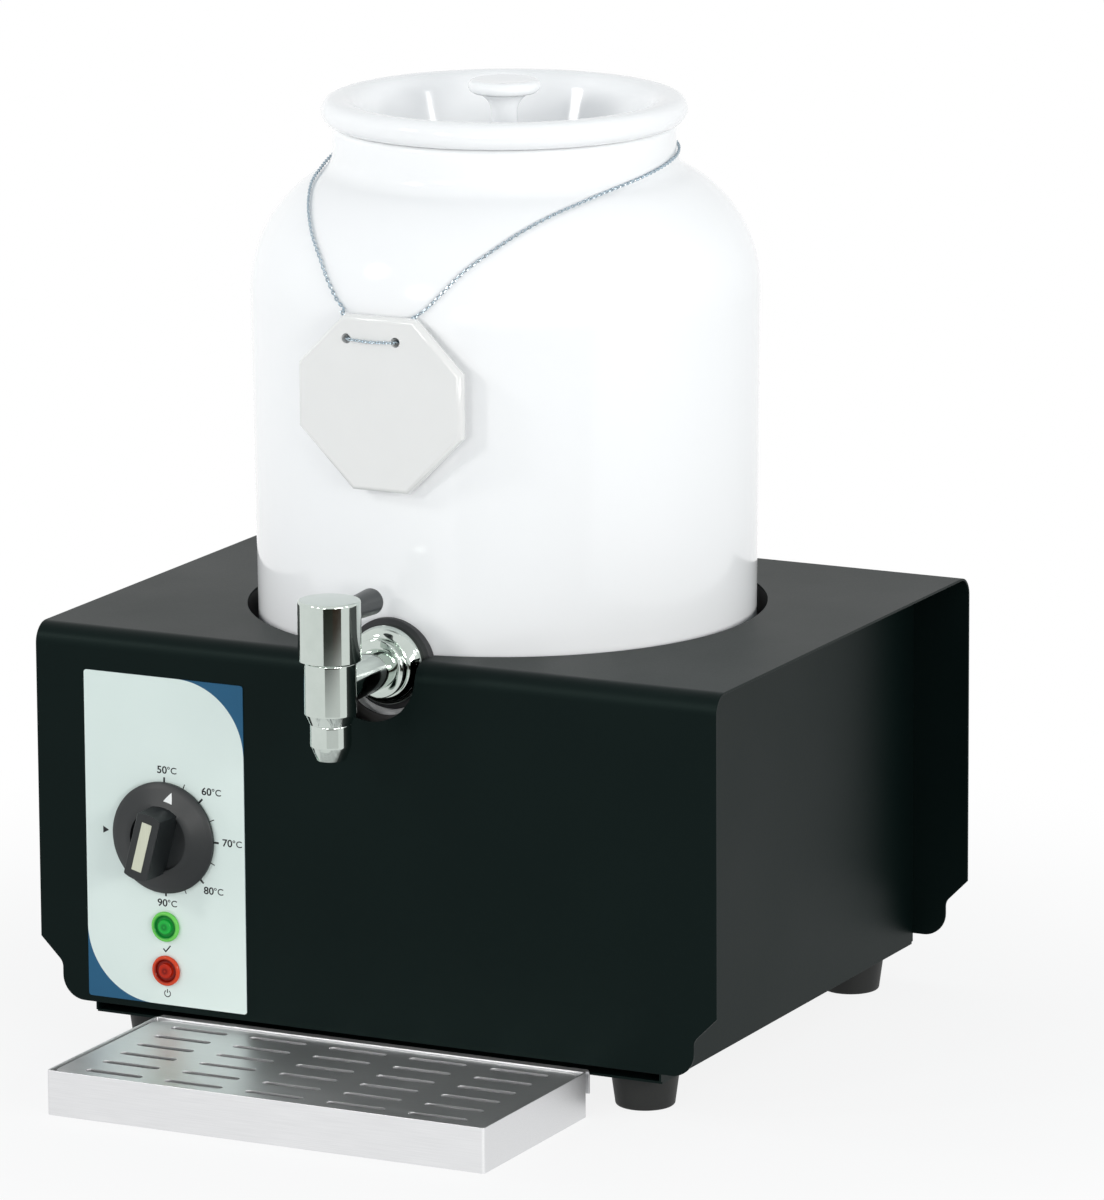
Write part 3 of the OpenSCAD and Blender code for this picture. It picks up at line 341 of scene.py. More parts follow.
# Degrees from the front and millimetres above the start of the shoulder
chain_route = [(9.3, 7.8), (11.5, 11.5), (15, 19.5), (19.5, 29), (25, 37), (32, 45), (41, 51.8), (52, 56.6),
               (64, 60), (78, 63), (93, 65.5), (110, 67.5), (130, 68.9), (148, 69.5), (164, 69.9), (180, 70)]
tag_low, tag_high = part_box("tag_plate")
hole_shift = 0.004
chain_off = 0.0012
half_turn, half_rise = smooth_line(chain_route, 8).T
half_turn, half_rise = np.radians(half_turn), half_rise / 1000
on_shoulder = shoulder_c + np.sqrt(np.maximum((shoulder_r + chain_off) ** 2 - half_rise ** 2, 0))
below_fillet = fillet_z - shoulder_z - half_rise
in_fillet = fillet_c - np.sqrt(np.maximum((neck_fillet - chain_off) ** 2 - below_fillet ** 2, 0))
half_r = np.where(half_rise < (shoulder_r + chain_off) * np.sin(fillet_turn), on_shoulder, in_fillet)
loop_turn = np.concatenate([-half_turn, half_turn[-2::-1]]) - np.arcsin(hole_shift / jar_r)
loop_r = np.concatenate([half_r, half_r[-2::-1]])
loop_z = shoulder_z + np.concatenate([half_rise, half_rise[-2::-1]])
neck_loop = np.stack([loop_r * np.sin(loop_turn), axis_y - loop_r * np.cos(loop_turn), loop_z], axis=1)

hole_half, hole_z = 0.01325, tag_high.z - 0.0115
behind_y, before_y = tag_high.y + 0.0013, tag_low.y - 0.0012
stitch_half = np.array([
    (hole_half + 0.0062, behind_y, tag_high.z - 0.001), (hole_half + 0.0034, behind_y, hole_z + 0.0056),
    (hole_half + 0.0008, behind_y, hole_z + 0.0012), (hole_half, tag_high.y - 0.0016, hole_z),
    (hole_half, tag_low.y + 0.0016, hole_z), (hole_half - 0.0012, before_y, hole_z),
    (hole_half - 0.005, before_y, hole_z - 0.0002)])
stitch = np.vstack([stitch_half * (-1, 1, 1), [(0, before_y, hole_z - 0.0006)], stitch_half[::-1]])
stitch = smooth_line(stitch - (hole_shift, 0, 0), 6)
loop_end = np.array([0.0004, 0.0002, 0.0008])
neck_loop = np.vstack([[stitch[0] + loop_end], neck_loop, [stitch[-1] + loop_end * (-1, 1, 1)]])
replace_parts(chain_links("neck_chain_links", neck_loop, "jar"), "neck_chain")
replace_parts(chain_links("tag_chain_links", stitch, "tag"), "tag_chain")


# The base's sheet metal: one bent sheet for front, top and rear, and two
# folded side panels, all in satin black powder coat with a fine orange peel.
def shade_group():
    """A geometry group that shades a mesh smooth, with edges past 32 degrees kept sharp."""
    group = bpy.data.node_groups.new("edge_shading", "GeometryNodeTree")
    for way in ("INPUT", "OUTPUT"):
        group.interface.new_socket("Geometry", in_out=way, socket_type="NodeSocketGeometry")
    start, end = group.nodes.new("NodeGroupInput"), group.nodes.new("NodeGroupOutput")
    whole = group.nodes.new("GeometryNodeSetShadeSmooth")
    edges = group.nodes.new("GeometryNodeSetShadeSmooth")
    angle = group.nodes.new("GeometryNodeInputMeshEdgeAngle")
    sharp = group.nodes.new("FunctionNodeCompare")
    edges.domain = "EDGE"
    edges.inputs["Shade Smooth"].default_value = False
    sharp.operation = "GREATER_THAN"
    sharp.inputs[1].default_value = np.radians(32)
    group.links.new(angle.outputs[0], sharp.inputs[0])
    group.links.new(sharp.outputs[0], edges.inputs["Selection"])
    for a, b in ((start, whole), (whole, edges), (edges, end)):
        group.links.new(a.outputs[0], b.inputs[0])
    return group


edge_shading = shade_group()


def dress(material, edge, *names):
    """Gives solids a material and broken edges of that width. Curves shade smooth and flat faces level."""
    for name in names:
        solid = nodes[name]
        solid.data.materials.clear()
        solid.data.materials.append(material)
        weld = solid.modifiers.new("weld", "WELD")
        weld.merge_threshold = 1e-6
        if edge:
            flat = solid.modifiers.new("flat", "DECIMATE")
            flat.decimate_type = "DISSOLVE"
            flat.angle_limit = np.radians(0.5)
            broken = solid.modifiers.new("broken_edges", "BEVEL")
            broken.width = edge
            broken.segments = 3
            broken.limit_method = "ANGLE"
            broken.angle_limit = np.radians(40)
        solid.modifiers.new("shading", "NODES").node_group = edge_shading
        if edge:
            level = solid.modifiers.new("level_faces", "WEIGHTED_NORMAL")
            level.weight = 100
            level.keep_sharp = True


powder_coat, root = new_material("powder_coat")
peel = root.noise(1500, 1.0)
patch = root.noise(14, 3.0)
root.finish(colour=patch.mix((0.0014, 0.0038, 0.0038), (0.0024, 0.0056, 0.0052)),
            rough=patch * 0.08 + peel * 0.06 + 0.34, specular=0.09, glint=(0.7, 1.0, 0.92),
            normal=root.relief(peel, 0.00004, 0.5))
dress(powder_coat, 0.0003, "outer_casing", "left_side_panel", "right_side_panel", "base_plate")

# The fasteners and small fittings: zinc-plated screws, nuts, a clamp, a shaft and
# a pin. The rear screws, the lamps' bodies and the cable gland are black.
zinc, root = new_material("zinc")
dull = root.noise(700)
root.finish(colour=dull.mix((0.42, 0.43, 0.45), (0.58, 0.58, 0.56)), metal=1.0, rough=dull * 0.2 + 0.25)
dress(zinc, 0.0002, "base_plate_screws", "foot_screws", "element_clamp", "clamp_nut", "lamp_nuts",
      "thermostat_shaft", "lever_pin", "tap_back_nut", "thermostat_nut")
black_nylon, root = new_material("black_nylon")
grain = root.noise(2600)
root.finish(colour=grain.mix((0.012, 0.012, 0.012), (0.02, 0.02, 0.021)), rough=grain * 0.15 + 0.42,
            normal=root.relief(grain, 0.00002))
dress(black_nylon, 0.0002, "rear_screws", "lamp_bodies", "cable_gland", "gland_nut")

# The feet: moulded black rubber cones with a little dust in their grain,
# screwed up into the base plate.
foot_rubber, root = new_material("foot_rubber")
grain = root.noise(1800, 3.0)
dust = root.noise(60, 3.0)
root.finish(colour=dust.mix((0.008, 0.009, 0.009), (0.016, 0.017, 0.016)), rough=grain * 0.15 + 0.5,
            specular=0.3, normal=root.relief(grain, 0.00003))
dress(foot_rubber, 0.0006, "foot_front_left", "foot_front_right", "foot_rear_left", "foot_rear_right")

# The well and the ring that the jar stands on: the well is spun from dull
# stainless sheet and marked by water, its dark colour painted shade, and the
# ring is rolled from a strip.
stainless, root = new_material("stainless")
brushed = root.noise(40, 3.0, (1, 55, 55))
cloud = root.noise(9)
root.finish(colour=brushed.mix((0.66, 0.665, 0.675), (0.8, 0.805, 0.815)), metal=1.0,
            rough=brushed * 0.16 + cloud * 0.08 + 0.3, normal=root.relief(brushed, 0.00002, 0.4))
well_steel, root = new_material("well_steel")
# Both tones are painted shade, far darker than steel; the noise between them is water marks
water_marks_and_shade = root.noise(30, 4.0)
root.finish(colour=water_marks_and_shade.mix((0.1, 0.1, 0.1), (0.22, 0.22, 0.22)), metal=1.0,
            rough=water_marks_and_shade * 0.2 + 0.35)
dress(well_steel, 0, "heating_well")
dress(stainless, 0.0003, "jar_support", "bulb_clip")

# The works inside the base: a tubular heater, a cut-out, a thermostat with its
# capillary, a terminal block and wires, as bought in.
heater_sheath, root = new_material("heater_sheath")
tint = root.noise(25)
root.finish(colour=tint.mix((0.22, 0.18, 0.16), (0.3, 0.27, 0.26)), metal=1.0, rough=tint * 0.2 + 0.35)
phenolic, root = new_material("phenolic")
fleck = root.noise(500)
root.finish(colour=fleck.mix((0.6, 0.56, 0.46), (0.72, 0.68, 0.58)), rough=fleck * 0.1 + 0.45)
copper, root = new_material("copper")
tint = root.noise(60)
root.finish(colour=tint.mix((0.55, 0.27, 0.15), (0.68, 0.36, 0.22)), metal=1.0, rough=tint * 0.15 + 0.25)
wire_cover, root = new_material("wire_cover")
tint = root.noise(200)
root.finish(colour=tint.mix((0.26, 0.05, 0.03), (0.33, 0.08, 0.05)), rough=tint * 0.1 + 0.4)
dress(heater_sheath, 0, "heating_element")
dress(phenolic, 0.0004, "overheat_cutout", "thermostat_body", "terminal_block")
dress(copper, 0, "capillary_tube", "sensor_bulb")
dress(wire_cover, 0, "wiring")

# The control label: a thin printed film, pale with a blue field cut off by an
# arc at two corners. Marks and numbers are printed round the dial.
label_low, label_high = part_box("control_label")
corner_arc, print_blur = 0.0365, 0.00008
label_film, root = new_material("label_film")
x, z = root.along("X"), root.along("Z")
upper_x, upper_z = x - (label_high.x - corner_arc), z - (label_high.z - corner_arc)
lower_x, lower_z = (label_low.x + corner_arc) - x, (label_low.z + corner_arc) - z
upper = (upper_x.most(0) ** 2 + upper_z.most(0) ** 2) ** 0.5
lower = (lower_x.most(0) ** 2 + lower_z.most(0) ** 2) ** 0.5
field = upper.most(lower).ease(corner_arc - print_blur, corner_arc + print_blur)
fibre = root.noise(1200)
handled = root.noise(22, 3.0)
tone = handled.mix((0.64, 0.735, 0.7), (0.69, 0.775, 0.745))
root.finish(colour=field.mix(tone, (0.014, 0.09, 0.18)), rough=fibre * 0.06 + handled * 0.1 + 0.3,
            specular=0.25, normal=root.relief(fibre, 0.000006))
dress(label_film, 0, "control_label")

print_ink, root = new_material("print_ink")
ink_grain = root.noise(4000)
root.finish(colour=ink_grain.mix((0.01, 0.011, 0.012), (0.022, 0.023, 0.025)), rough=ink_grain * 0.1 + 0.38,
            specular=0.25)
dial_low, dial_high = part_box("control_knob")
dial_x, dial_z = (dial_low.x + dial_high.x) / 2, (dial_low.z + dial_high.z) / 2
dial_r = (dial_high.x - dial_low.x) / 2
ink_y = label_low.y - 0.00002


def printed(name, outlines):
    """Flat ink on the label: each outline, in metres right of and above the dial's centre, is one face."""
    points = np.vstack(outlines)
    counts = np.cumsum([0] + [len(o) for o in outlines])
    mesh = bpy.data.meshes.new(name)
    placed = np.column_stack([dial_x + points[:, 0], np.full(len(points), ink_y), dial_z + points[:, 1]])
    mesh.from_pydata(placed, [], [tuple(range(a, b)) for a, b in zip(counts[:-1], counts[1:])])
    mesh.materials.append(print_ink)
    made = bpy.data.objects.new(name, mesh)
    bpy.context.scene.collection.objects.link(made)
    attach(made, "base")


def dial_mark(turn, start, end, width):
    """A short bar that points at the dial's centre, so many degrees clockwise from straight up."""
    a = np.radians(turn)
    out, over = np.array([np.sin(a), np.cos(a)]), np.array([np.cos(a), -np.sin(a)])
    return np.array([out * start - over * width / 2, out * end - over * width / 2,
                     out * end + over * width / 2, out * start + over * width / 2])


mark_start = dial_r - 0.0006
main_mark, minor_mark = (0.0027, 0.001), (0.0025, 0.0005)
marks = []
for k, turn in enumerate(np.arange(0, 181, 22.5)):
    mark_length, mark_width = minor_mark if k % 2 else main_mark
    marks.append(dial_mark(turn, mark_start, mark_start + mark_length, mark_width))
off_mark = np.array([(-0.0347, 0.002), (-0.0314, 0.0002), (-0.0347, -0.0016)])
printed("dial_marks", marks + [off_mark])

# Below each lamp a small sign: a tick for ready, a broken ring for power
lamp_boxes = {lens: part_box(lens) for lens in ("ready_lamp_lens", "power_lamp_lens")}
sign_drop, ring_outer, ring_inner = 0.0118, 0.0019, 0.0014
sign_z = [(low.z + high.z) / 2 - dial_z - sign_drop for low, high in lamp_boxes.values()]
gap_turns = np.radians(np.linspace(35, 325, 30))
ring_way = np.column_stack([np.sin(gap_turns), np.cos(gap_turns)])
power_ring = np.vstack([ring_way * ring_outer, ring_way[::-1] * ring_inner]) + (0, sign_z[1])
bar_half, bar_low, bar_high = 0.00028, 0.0003, 0.0022
power_bar = np.array([(-bar_half, bar_low), (bar_half, bar_low), (bar_half, bar_high),
                      (-bar_half, bar_high)])
tick = np.array([(-0.0022, 0.0001), (-0.0006, -0.0016), (0.0024, 0.0019), (0.0018, 0.0023),
                 (-0.0006, -0.0006), (-0.0017, 0.0006)])
printed("lamp_signs", [power_ring, power_bar + (0, sign_z[1]), tick + (0, sign_z[0])])


def lettered(name, words, height, boldness, middle_x, middle_z):
    """Ink figures of a height, drawn out a little, set upright on the label with their middle at a place."""
    capital_share, widen = 0.7, 1.1
    curve = bpy.data.curves.new(name, "FONT")
    curve.body = words
    curve.align_x, curve.align_y = "CENTER", "CENTER"
    curve.size = height / capital_share
    curve.offset = boldness
    shown = bpy.data.objects.new(name, curve)
    bpy.context.scene.collection.objects.link(shown)
    bpy.context.view_layer.update()
    mesh = bpy.data.meshes.new_from_object(shown.evaluated_get(bpy.context.evaluated_depsgraph_get()))
    bpy.data.objects.remove(shown)
    flat = np.zeros(len(mesh.vertices) * 3)
    mesh.vertices.foreach_get("co", flat)
    flat = flat.reshape(-1, 3)
    placed = np.column_stack([middle_x + flat[:, 0] * widen, np.full(len(flat), ink_y),
                              middle_z + flat[:, 1]])
    mesh.vertices.foreach_set("co", placed.ravel())
    mesh.materials.clear()
    mesh.materials.append(print_ink)
    made = bpy.data.objects.new(name, mesh)
    bpy.context.scene.collection.objects.link(made)
    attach(made, "base")


figure_height, figure_bold, figure_left = 0.0036, 0.00011, 0.0022
unit_height, unit_bold, unit_right = 0.0032, 0.00006, 0.0033
for figure, across_by, up_by in (("50", 0.001, 0.0335), ("60", 0.0257, 0.025), ("70", 0.0369, 0.0003),
                                 ("80", 0.0262, -0.0248), ("90", 0.0002, -0.0336)):
    lettered("dial_" + figure, figure, figure_height, figure_bold, dial_x + across_by - figure_left,
             dial_z + up_by)
    lettered("dial_unit_" + figure, "°C", unit_height, unit_bold, dial_x + across_by + unit_right,
             dial_z + up_by)

# The dial's knob: a dark grey moulding with a coned skirt, a bar to turn it by,
# a strip of satin aluminium let into the bar and a white pointer on the skirt.
knob_grey, root = new_material("knob_grey")
grain = root.noise(3000)
rubbed = root.noise(120, 3.0)
root.finish(colour=rubbed.mix((0.005, 0.007, 0.0078), (0.01, 0.013, 0.014)), rough=grain * 0.12 + 0.36,
            specular=0.45, normal=root.relief(grain, 0.00002))
insert_metal, root = new_material("insert_metal")
brushed = root.noise(60, 3.0, (40, 1, 1))
root.finish(colour=brushed.mix((0.48, 0.5, 0.4), (0.6, 0.62, 0.51)), metal=0.7, rough=brushed * 0.15 + 0.45)
dress(knob_grey, 0, "control_knob")
dress(insert_metal, 0.0001, "knob_insert")

pointer_white, root = new_material("pointer_white")
ink_grain = root.noise(4000)
root.finish(colour=ink_grain.mix((0.72, 0.74, 0.73), (0.8, 0.82, 0.81)), rough=ink_grain * 0.1 + 0.4)
pointer_turn = np.radians(15)
pointer_tip, pointer_foot, pointer_half = 0.0246, 0.0198, 0.0024
skirt_edge, skirt_rise, skirt_slope = 0.0275, 0.0034, 0.0048 / 0.0113
pointer_steps, paint = 9, 0.00004
steps = np.linspace(0, 1, pointer_steps)
out = (pointer_tip + (pointer_foot - pointer_tip) * steps)[:, None] + np.zeros(pointer_steps)
turn = pointer_turn + steps[:, None] * pointer_half * np.linspace(-1, 1, pointer_steps) / pointer_foot
stand = skirt_rise + (skirt_edge - out) * skirt_slope + paint
casing_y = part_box("outer_casing")[0].y
points = np.stack([dial_x + out * np.sin(turn), casing_y - stand, dial_z + out * np.cos(turn)], axis=-1)
pointer_faces = grid_faces(pointer_steps, pointer_steps, False, False)
new_piece("knob_pointer", points, pointer_faces, pointer_white, "knob")


# The lamps: snap-in lenses of clear coloured plastic, a rolled rim round a
# groove and a low stepped dome, lit from behind by a small neon.
def arc(centre, radius, start, end, steps):
    """Points round a centre from one angle to another, in degrees."""
    a = np.radians(np.linspace(start, end, steps))
    return np.column_stack([centre[0] + radius * np.cos(a), centre[1] + radius * np.sin(a)])


def turned(profile, centre, direction, steps):
    """A profile of radius and height turned round an axis: each point sweeps a circle at its height."""
    p = np.vstack(profile)
    a = 2 * np.pi * np.arange(steps) / steps
    d = np.array(direction, float)
    u = np.array([1.0, 0, 0])
    v = np.cross(d, u)
    ring = np.cos(a)[:, None] * u + np.sin(a)[:, None] * v
    points = np.array(centre, float) + p[:, None, :1] * ring[None] + p[:, None, 1:] * d
    return points, grid_faces(len(p), steps, False, True)


lens_reach, lens_body, lens_back = 0.008, 0.0049, 0.0044
lens_roll, lens_step, lens_groove = 0.0011, 0.0006, 0.0009


def lens_material(name, rim_highlight, bright, groove_shade):
    """Coloured plastic by its distance from the middle: a bright dome, painted shade in the groove and a
    painted highlight on the rolled edge.
    """
    material, root = new_material(name)
    low, high = lamp_boxes[name]
    x, z = root.along("X"), root.along("Z")
    out = ((x - (low.x + high.x) / 2) ** 2 + (z - (low.z + high.z) / 2) ** 2) ** 0.5
    # The stops paint shade into the groove and a highlight onto the rolled edge, and the glow follows them
    stops = [(0, bright), (0.12, groove_shade), (0.3, bright), (0.44, bright), (0.56, groove_shade), (0.7, groove_shade),
             (0.82, rim_highlight), (1, rim_highlight)]
    ring = root.node("ValToRGB", {"stops": stops}, {"Fac": out / lens_reach})
    root.finish(colour=ring, rough=root.noise(800) * 0.06 + 0.1, glow=ring, glow_strength=0.06, specular=0.2)
    return material


# Each lens: an edge colour with a painted highlight, a bright dome colour and a groove colour with painted
# shade
for lens, slot, rim_highlight, bright, groove_shade in (
        ("ready_lamp_lens", "lens_green", (0.13, 0.53, 0.085), (0.01, 0.37, 0.045), (0.004, 0.18, 0.025)),
        ("power_lamp_lens", "lens_red", (0.55, 0.05, 0.014), (0.4, 0.016, 0.003), (0.16, 0.004, 0.001))):
    low, high = lamp_boxes[lens]
    lens_r = (high.x - low.x) / 2
    profile = [[(lens_body, -lens_back), (lens_body, 0)],
               arc((lens_r - lens_roll, lens_roll), lens_roll, -80, 160, 12),
               [(lens_r - 0.0026, lens_groove), (lens_r - 0.0038, lens_groove)],
               arc((lens_r - 0.0046, 0.0019), lens_step, 0, 90, 5), arc((0, -0.0152), 0.0179, 80.5, 90, 6)]
    points, faces = turned(profile, ((low.x + high.x) / 2, label_low.y, (low.z + high.z) / 2), (0, -1, 0), 64)
    lens_plastic = lens_material(lens, rim_highlight, bright, groove_shade)
    lens_piece = new_piece(lens.replace("_lens", "_cap"), points, faces, lens_plastic, "base")
    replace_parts(lens_piece, lens)

# The jar: thrown white porcelain under a clear glossy glaze, open at the neck.
# The glaze lies a little unevenly over its wall.
porcelain, root = new_material("porcelain")
sway = root.noise(16, 1.0)
pool = root.noise(5, 2.0)
root.finish(colour=pool.mix((0.845, 0.852, 0.862), (0.87, 0.876, 0.884)), rough=pool * 0.03 + 0.09,
            specular=0.3, normal=root.relief(sway, 0.0006, 0.25), coat=0.15, coat_rough=0.03)
foot_z, neck_z = jar_low.z, jar_high.z
jar_wall, foot_edge, lip, taper = 0.008, 0.010, 0.003, 0.0023
foot_r = jar_r - taper
floor_z = foot_z + 0.011
floor_corner = 0.006
hollow_r, hollow_z = 0.086, foot_z + 0.0025
steep = np.degrees(fillet_turn)
inner_foot = foot_r - jar_wall + taper * (floor_z - foot_z) / (shoulder_z - foot_z)
wall_steps = np.linspace(0, 1, 30)[1:-1]
jar_profile = [
    [(0, hollow_z), (hollow_r, hollow_z), (hollow_r + 0.0005, foot_z)],
    arc((foot_r - foot_edge, foot_z + foot_edge), foot_edge, -90, 0, 12),
    np.column_stack([foot_r + taper * wall_steps,
                     foot_z + foot_edge + (shoulder_z - foot_z - foot_edge) * wall_steps]),
    arc((shoulder_c, shoulder_z), shoulder_r, 0, steep, 40),
    arc((fillet_c, fillet_z), neck_fillet, 180 + steep, 180, 14),
    arc((neck_r - lip, neck_z - lip), lip, 0, 90, 8),
    arc((neck_r - jar_wall + lip, neck_z - lip), lip, 90, 180, 8),
    arc((fillet_c, fillet_z), neck_fillet + jar_wall, 180, 180 + steep, 14),
    arc((shoulder_c, shoulder_z), shoulder_r - jar_wall, steep, 0, 30),
    [(inner_foot, floor_z + floor_corner)],
    arc((inner_foot - floor_corner, floor_z + floor_corner), floor_corner, 0, -90, 6), [(0, floor_z)]]
points, faces = turned(jar_profile, (0, axis_y, 0), (0, 0, 1), 192)
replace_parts(new_piece("glazed_jar", points, faces, porcelain, "jar"), "jar")

# The lid: one porcelain piece with a rolled rim, a lip that turns down into a
# sunken bowl, and a mushroom knob in the middle of it.
lid_low, lid_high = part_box("lid")
rim_z = neck_z + 0.0003
rim_top = rim_z + 0.013
rim_r = (lid_high.x - lid_low.x) / 2
bead = 0.0065
bead_c = rim_r - bead
bowl_r, bowl_z, bowl_corner, lid_wall, under_corner = 0.0705, rim_top - 0.028, 0.009, 0.005, 0.014
lip_c = bead_c - 0.002
lip_r = lip_c - bowl_r
bowl_flare = np.radians(19)
wall_foot = bowl_z + bowl_corner * (1 - np.sin(bowl_flare))
wall_head = rim_top - lip_r * (1 - np.sin(bowl_flare))
corner_c = (lip_c - lip_r * np.cos(bowl_flare) - (wall_head - wall_foot) * np.tan(bowl_flare)
            - bowl_corner * np.cos(bowl_flare))
knob_r, knob_top, knob_edge, stem, stem_foot = 0.0178, lid_high.z, 0.0032, 0.0065, 0.006
flare = knob_r - stem - 0.0015
head_z = knob_top - 2 * knob_edge
lid_profile = [
    [(0, knob_top - 0.0008), (knob_r * 0.55, knob_top - 0.0006)],
    arc((knob_r - knob_edge, knob_top - knob_edge), knob_edge, 100, -90, 16),
    arc((stem + flare, head_z - flare), flare, 95, 180, 14),
    arc((stem + stem_foot, bowl_z + stem_foot), stem_foot, 180, 270, 10),
    arc((corner_c, bowl_z + bowl_corner), bowl_corner, 270, 360 - np.degrees(bowl_flare), 18),
    arc((lip_c, rim_top - lip_r), lip_r, 180 - np.degrees(bowl_flare), 90, 16),
    arc((bead_c, rim_z + bead), bead, 90, -90, 26), [(bowl_r + lid_wall, rim_z)],
    arc((bowl_r - under_corner, bowl_z + under_corner), under_corner + lid_wall, 0, -90, 14),
    [(0, bowl_z - lid_wall)]]
points, faces = turned(lid_profile, (0, axis_y, 0), (0, 0, 1), 192)
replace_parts(new_piece("glazed_lid", points, faces, porcelain, "lid"), "lid")

# The tag: a cast eight-sided porcelain plate with soft edges, glazed plain
# white, with two holes for the chain.
tag_glaze, root = new_material("tag_glaze")
sway = root.noise(60, 1.0)
root.finish(colour=sway.mix((0.72, 0.72, 0.712), (0.745, 0.745, 0.737)), rough=sway * 0.05 + 0.16,
            normal=root.relief(sway, 0.0002, 0.3), coat=0.2, coat_rough=0.05)
dress(tag_glaze, 0.0007, "tag_plate")

# The tap: chromed brass, a barrel and shank in one with a screwed-in nozzle,
# a flange against the jar and a turning cap with a dark lever.
chrome, root = new_material("chrome")
smear = root.noise(130, 3.0)
root.finish(colour=smear.mix((0.52, 0.58, 0.54), (0.6, 0.66, 0.62)), metal=1.0, rough=smear * 0.05 + 0.035)
cap_low, cap_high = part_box("tap_cap")
nozzle_low, nozzle_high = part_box("tap_nozzle")
flange_low, flange_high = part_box("tap_flange")
tap_y = (cap_low.y + cap_high.y) / 2
cap_r, barrel_r, shank_r = (cap_high.x - cap_low.x) / 2, (nozzle_high.x - nozzle_low.x) / 2, 0.010
bore_r, plug_bore_r, stem_bore_r = 0.004, 0.0086, 0.0051
tap_z = nozzle_high.z + shank_r + 0.0005
cap_edge, cap_chamfer = 0.0012, 0.0005
# A short straight stretch beside each rounded edge keeps the walls' shading upright
straight = 0.0005
cap_profile = [[(stem_bore_r, cap_low.z), (cap_r - cap_chamfer, cap_low.z), (cap_r, cap_low.z + cap_chamfer),
                (cap_r, cap_high.z - cap_edge - straight)],
               arc((cap_r - cap_edge, cap_high.z - cap_edge), cap_edge, 0, 90, 8), [(0, cap_high.z)]]
points, faces = turned(cap_profile, (0, tap_y, 0), (0, 0, 1), 128)
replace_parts(new_piece("chromed_cap", points, faces, chrome, "tap_valve"), "tap_cap")

barrel_top = cap_low.z - 0.0003
barrel_edge, barrel_foot_r = 0.0008, 0.006
barrel_profile = [[(plug_bore_r, barrel_top)],
                  arc((barrel_r - barrel_edge, barrel_top - barrel_edge), barrel_edge, 90, 0, 6),
                  [(barrel_r, barrel_top - barrel_edge - straight), (barrel_r, nozzle_high.z),
                   (barrel_foot_r, nozzle_high.z)]]
barrel = turned(barrel_profile, (0, tap_y, 0), (0, 0, 1), 128)
tail_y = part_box("tap_body")[1].y
shank_profile = [[(bore_r, -tail_y), (shank_r, -tail_y), (shank_r, -tap_y), (bore_r, -tap_y)]]
shank = turned(shank_profile, (0, 0, tap_z), (0, -1, 0), 96)
points = np.vstack([barrel[0].reshape(-1, 3), shank[0].reshape(-1, 3)])
faces = np.vstack([barrel[1], shank[1] + barrel[0].shape[0] * barrel[0].shape[1]])
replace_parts(new_piece("chromed_barrel", points, faces, chrome, "jar"), "tap_body")

spout_z = nozzle_high.z
shoulder_edge, sleeve_edge, tip_edge = 0.0006, 0.001, 0.0015
sleeve_top, sleeve_foot = spout_z - 0.0068, spout_z - 0.0165
nozzle_profile = [
    [(bore_r, spout_z), (barrel_r, spout_z)],
    arc((barrel_r - shoulder_edge, spout_z - 0.0008), shoulder_edge, 0, -40, 4),
    [(shank_r + 0.0003, spout_z - 0.006)], arc((shank_r - sleeve_edge, sleeve_top), sleeve_edge, 40, 0, 3),
    [(shank_r, sleeve_top - straight), (shank_r, sleeve_foot + straight)],
    arc((shank_r - tip_edge, sleeve_foot), tip_edge, 0, -35, 5),
    [(0.0076, spout_z - 0.0233)], arc((0.0066, spout_z - 0.0231), 0.0009, -20, -90, 5),
    [(bore_r, spout_z - 0.024), (bore_r, spout_z - 0.002)]]
points, faces = turned(nozzle_profile, (0, tap_y, 0), (0, 0, 1), 128)
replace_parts(new_piece("chromed_nozzle", points, faces, chrome, "jar"), "tap_nozzle")

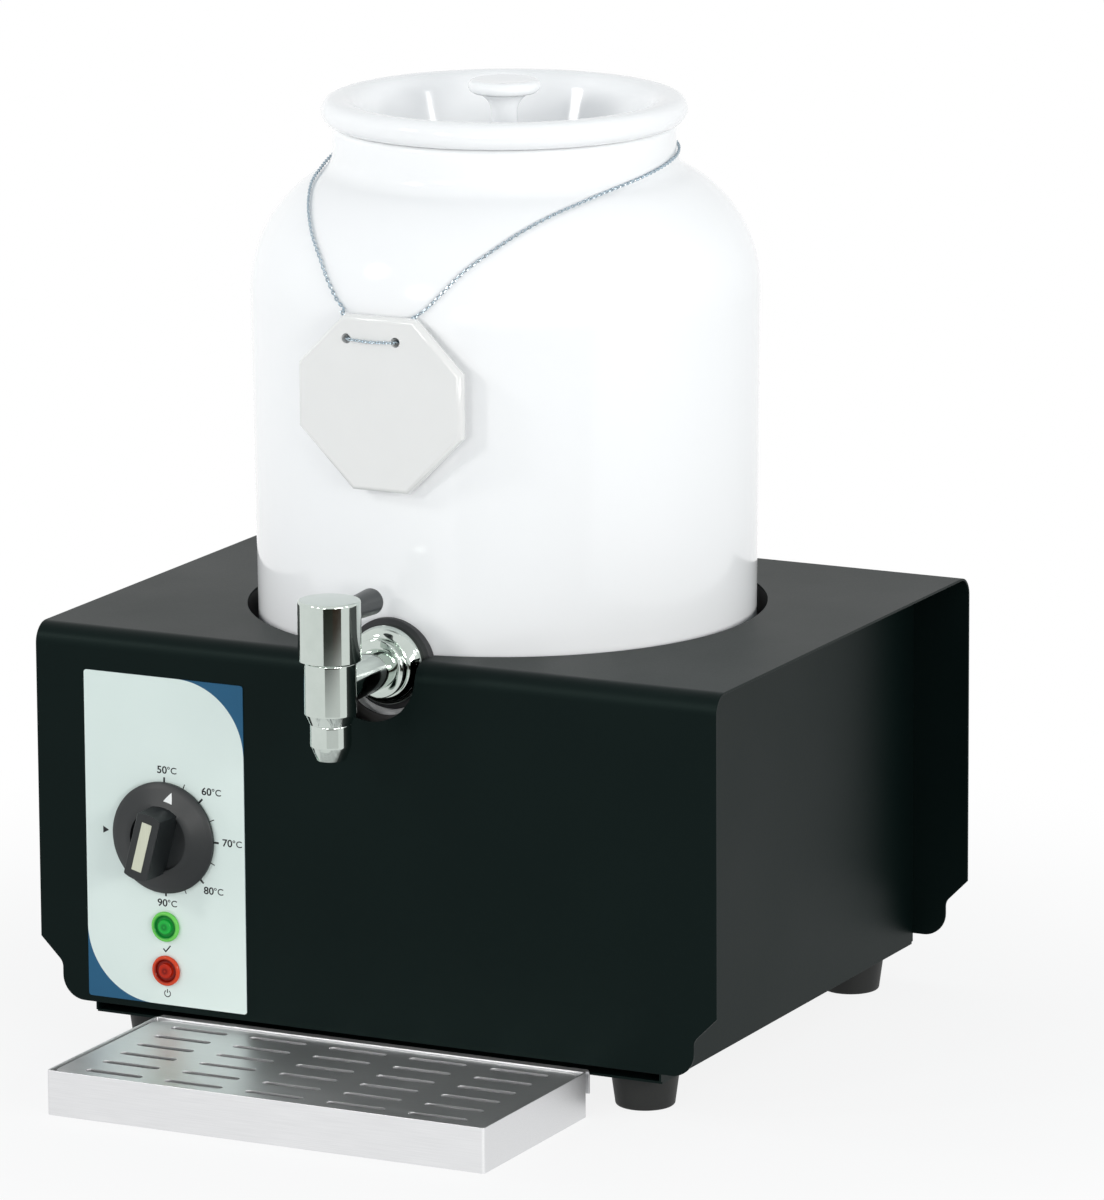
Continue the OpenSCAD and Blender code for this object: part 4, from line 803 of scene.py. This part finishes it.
seat = -flange_high.y
flange_r = (flange_high.x - flange_low.x) / 2
dome_r, dome_z = 0.008, seat + 0.002
dome_c = flange_r - dome_r
collar_r, collar_z, collar_edge = 0.0146, seat + 0.0129, 0.0008
flange_profile = [
    [(shank_r, seat), (flange_r, seat)], arc((dome_c, dome_z), dome_r, 0, 62, 18),
    [(collar_r + 0.0003, seat + 0.0092), (collar_r, seat + 0.0092), (collar_r, collar_z - straight)],
    arc((collar_r - collar_edge, collar_z), collar_edge, 0, 75, 6),
    [(shank_r + 0.0012, seat + 0.0145), (shank_r, seat + 0.0145)]]
points, faces = turned(flange_profile, (0, 0, tap_z), (0, -1, 0), 128)
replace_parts(new_piece("chromed_flange", points, faces, chrome, "jar"), "tap_flange")

seal_rubber, root = new_material("seal_rubber")
grain = root.noise(1500)
root.finish(colour=grain.mix((0.01, 0.011, 0.013), (0.018, 0.019, 0.022)), rough=grain * 0.1 + 0.45)
silicone, root = new_material("silicone")
grain = root.noise(1500)
root.finish(colour=grain.mix((0.7, 0.7, 0.67), (0.78, 0.78, 0.75)), rough=grain * 0.1 + 0.45)
plug_plastic, root = new_material("plug_plastic")
grain = root.noise(900)
root.finish(colour=grain.mix((0.74, 0.74, 0.72), (0.82, 0.82, 0.8)), rough=grain * 0.1 + 0.35)
lever_black, root = new_material("lever_black")
grain = root.noise(2200)
root.finish(colour=grain.mix((0.022, 0.026, 0.028), (0.032, 0.037, 0.039)), rough=grain * 0.1 + 0.3)
dress(seal_rubber, 0.0003, "tap_gasket", "plug_seals")
dress(silicone, 0.0003, "inner_gasket")
dress(plug_plastic, 0.0002, "tap_plug")
dress(lever_black, 0, "tap_lever")

# The drip tray and its grid: folded stainless sheet, brushed along its length,
# with the grid's slots punched and its two sides folded down.
grid_steel, root = new_material("grid_steel")
brushed = root.noise(40, 3.0, (1, 55, 55))
cloud = root.noise(9)
root.finish(colour=brushed.mix((0.7, 0.705, 0.715), (0.82, 0.825, 0.835)), metal=1.0,
            rough=brushed * 0.14 + cloud * 0.1 + 0.28, normal=root.relief(brushed, 0.00002, 0.4))
dress(stainless, 0.0003, "drip_tray")
dress(grid_steel, 0.0002, "drip_grid")
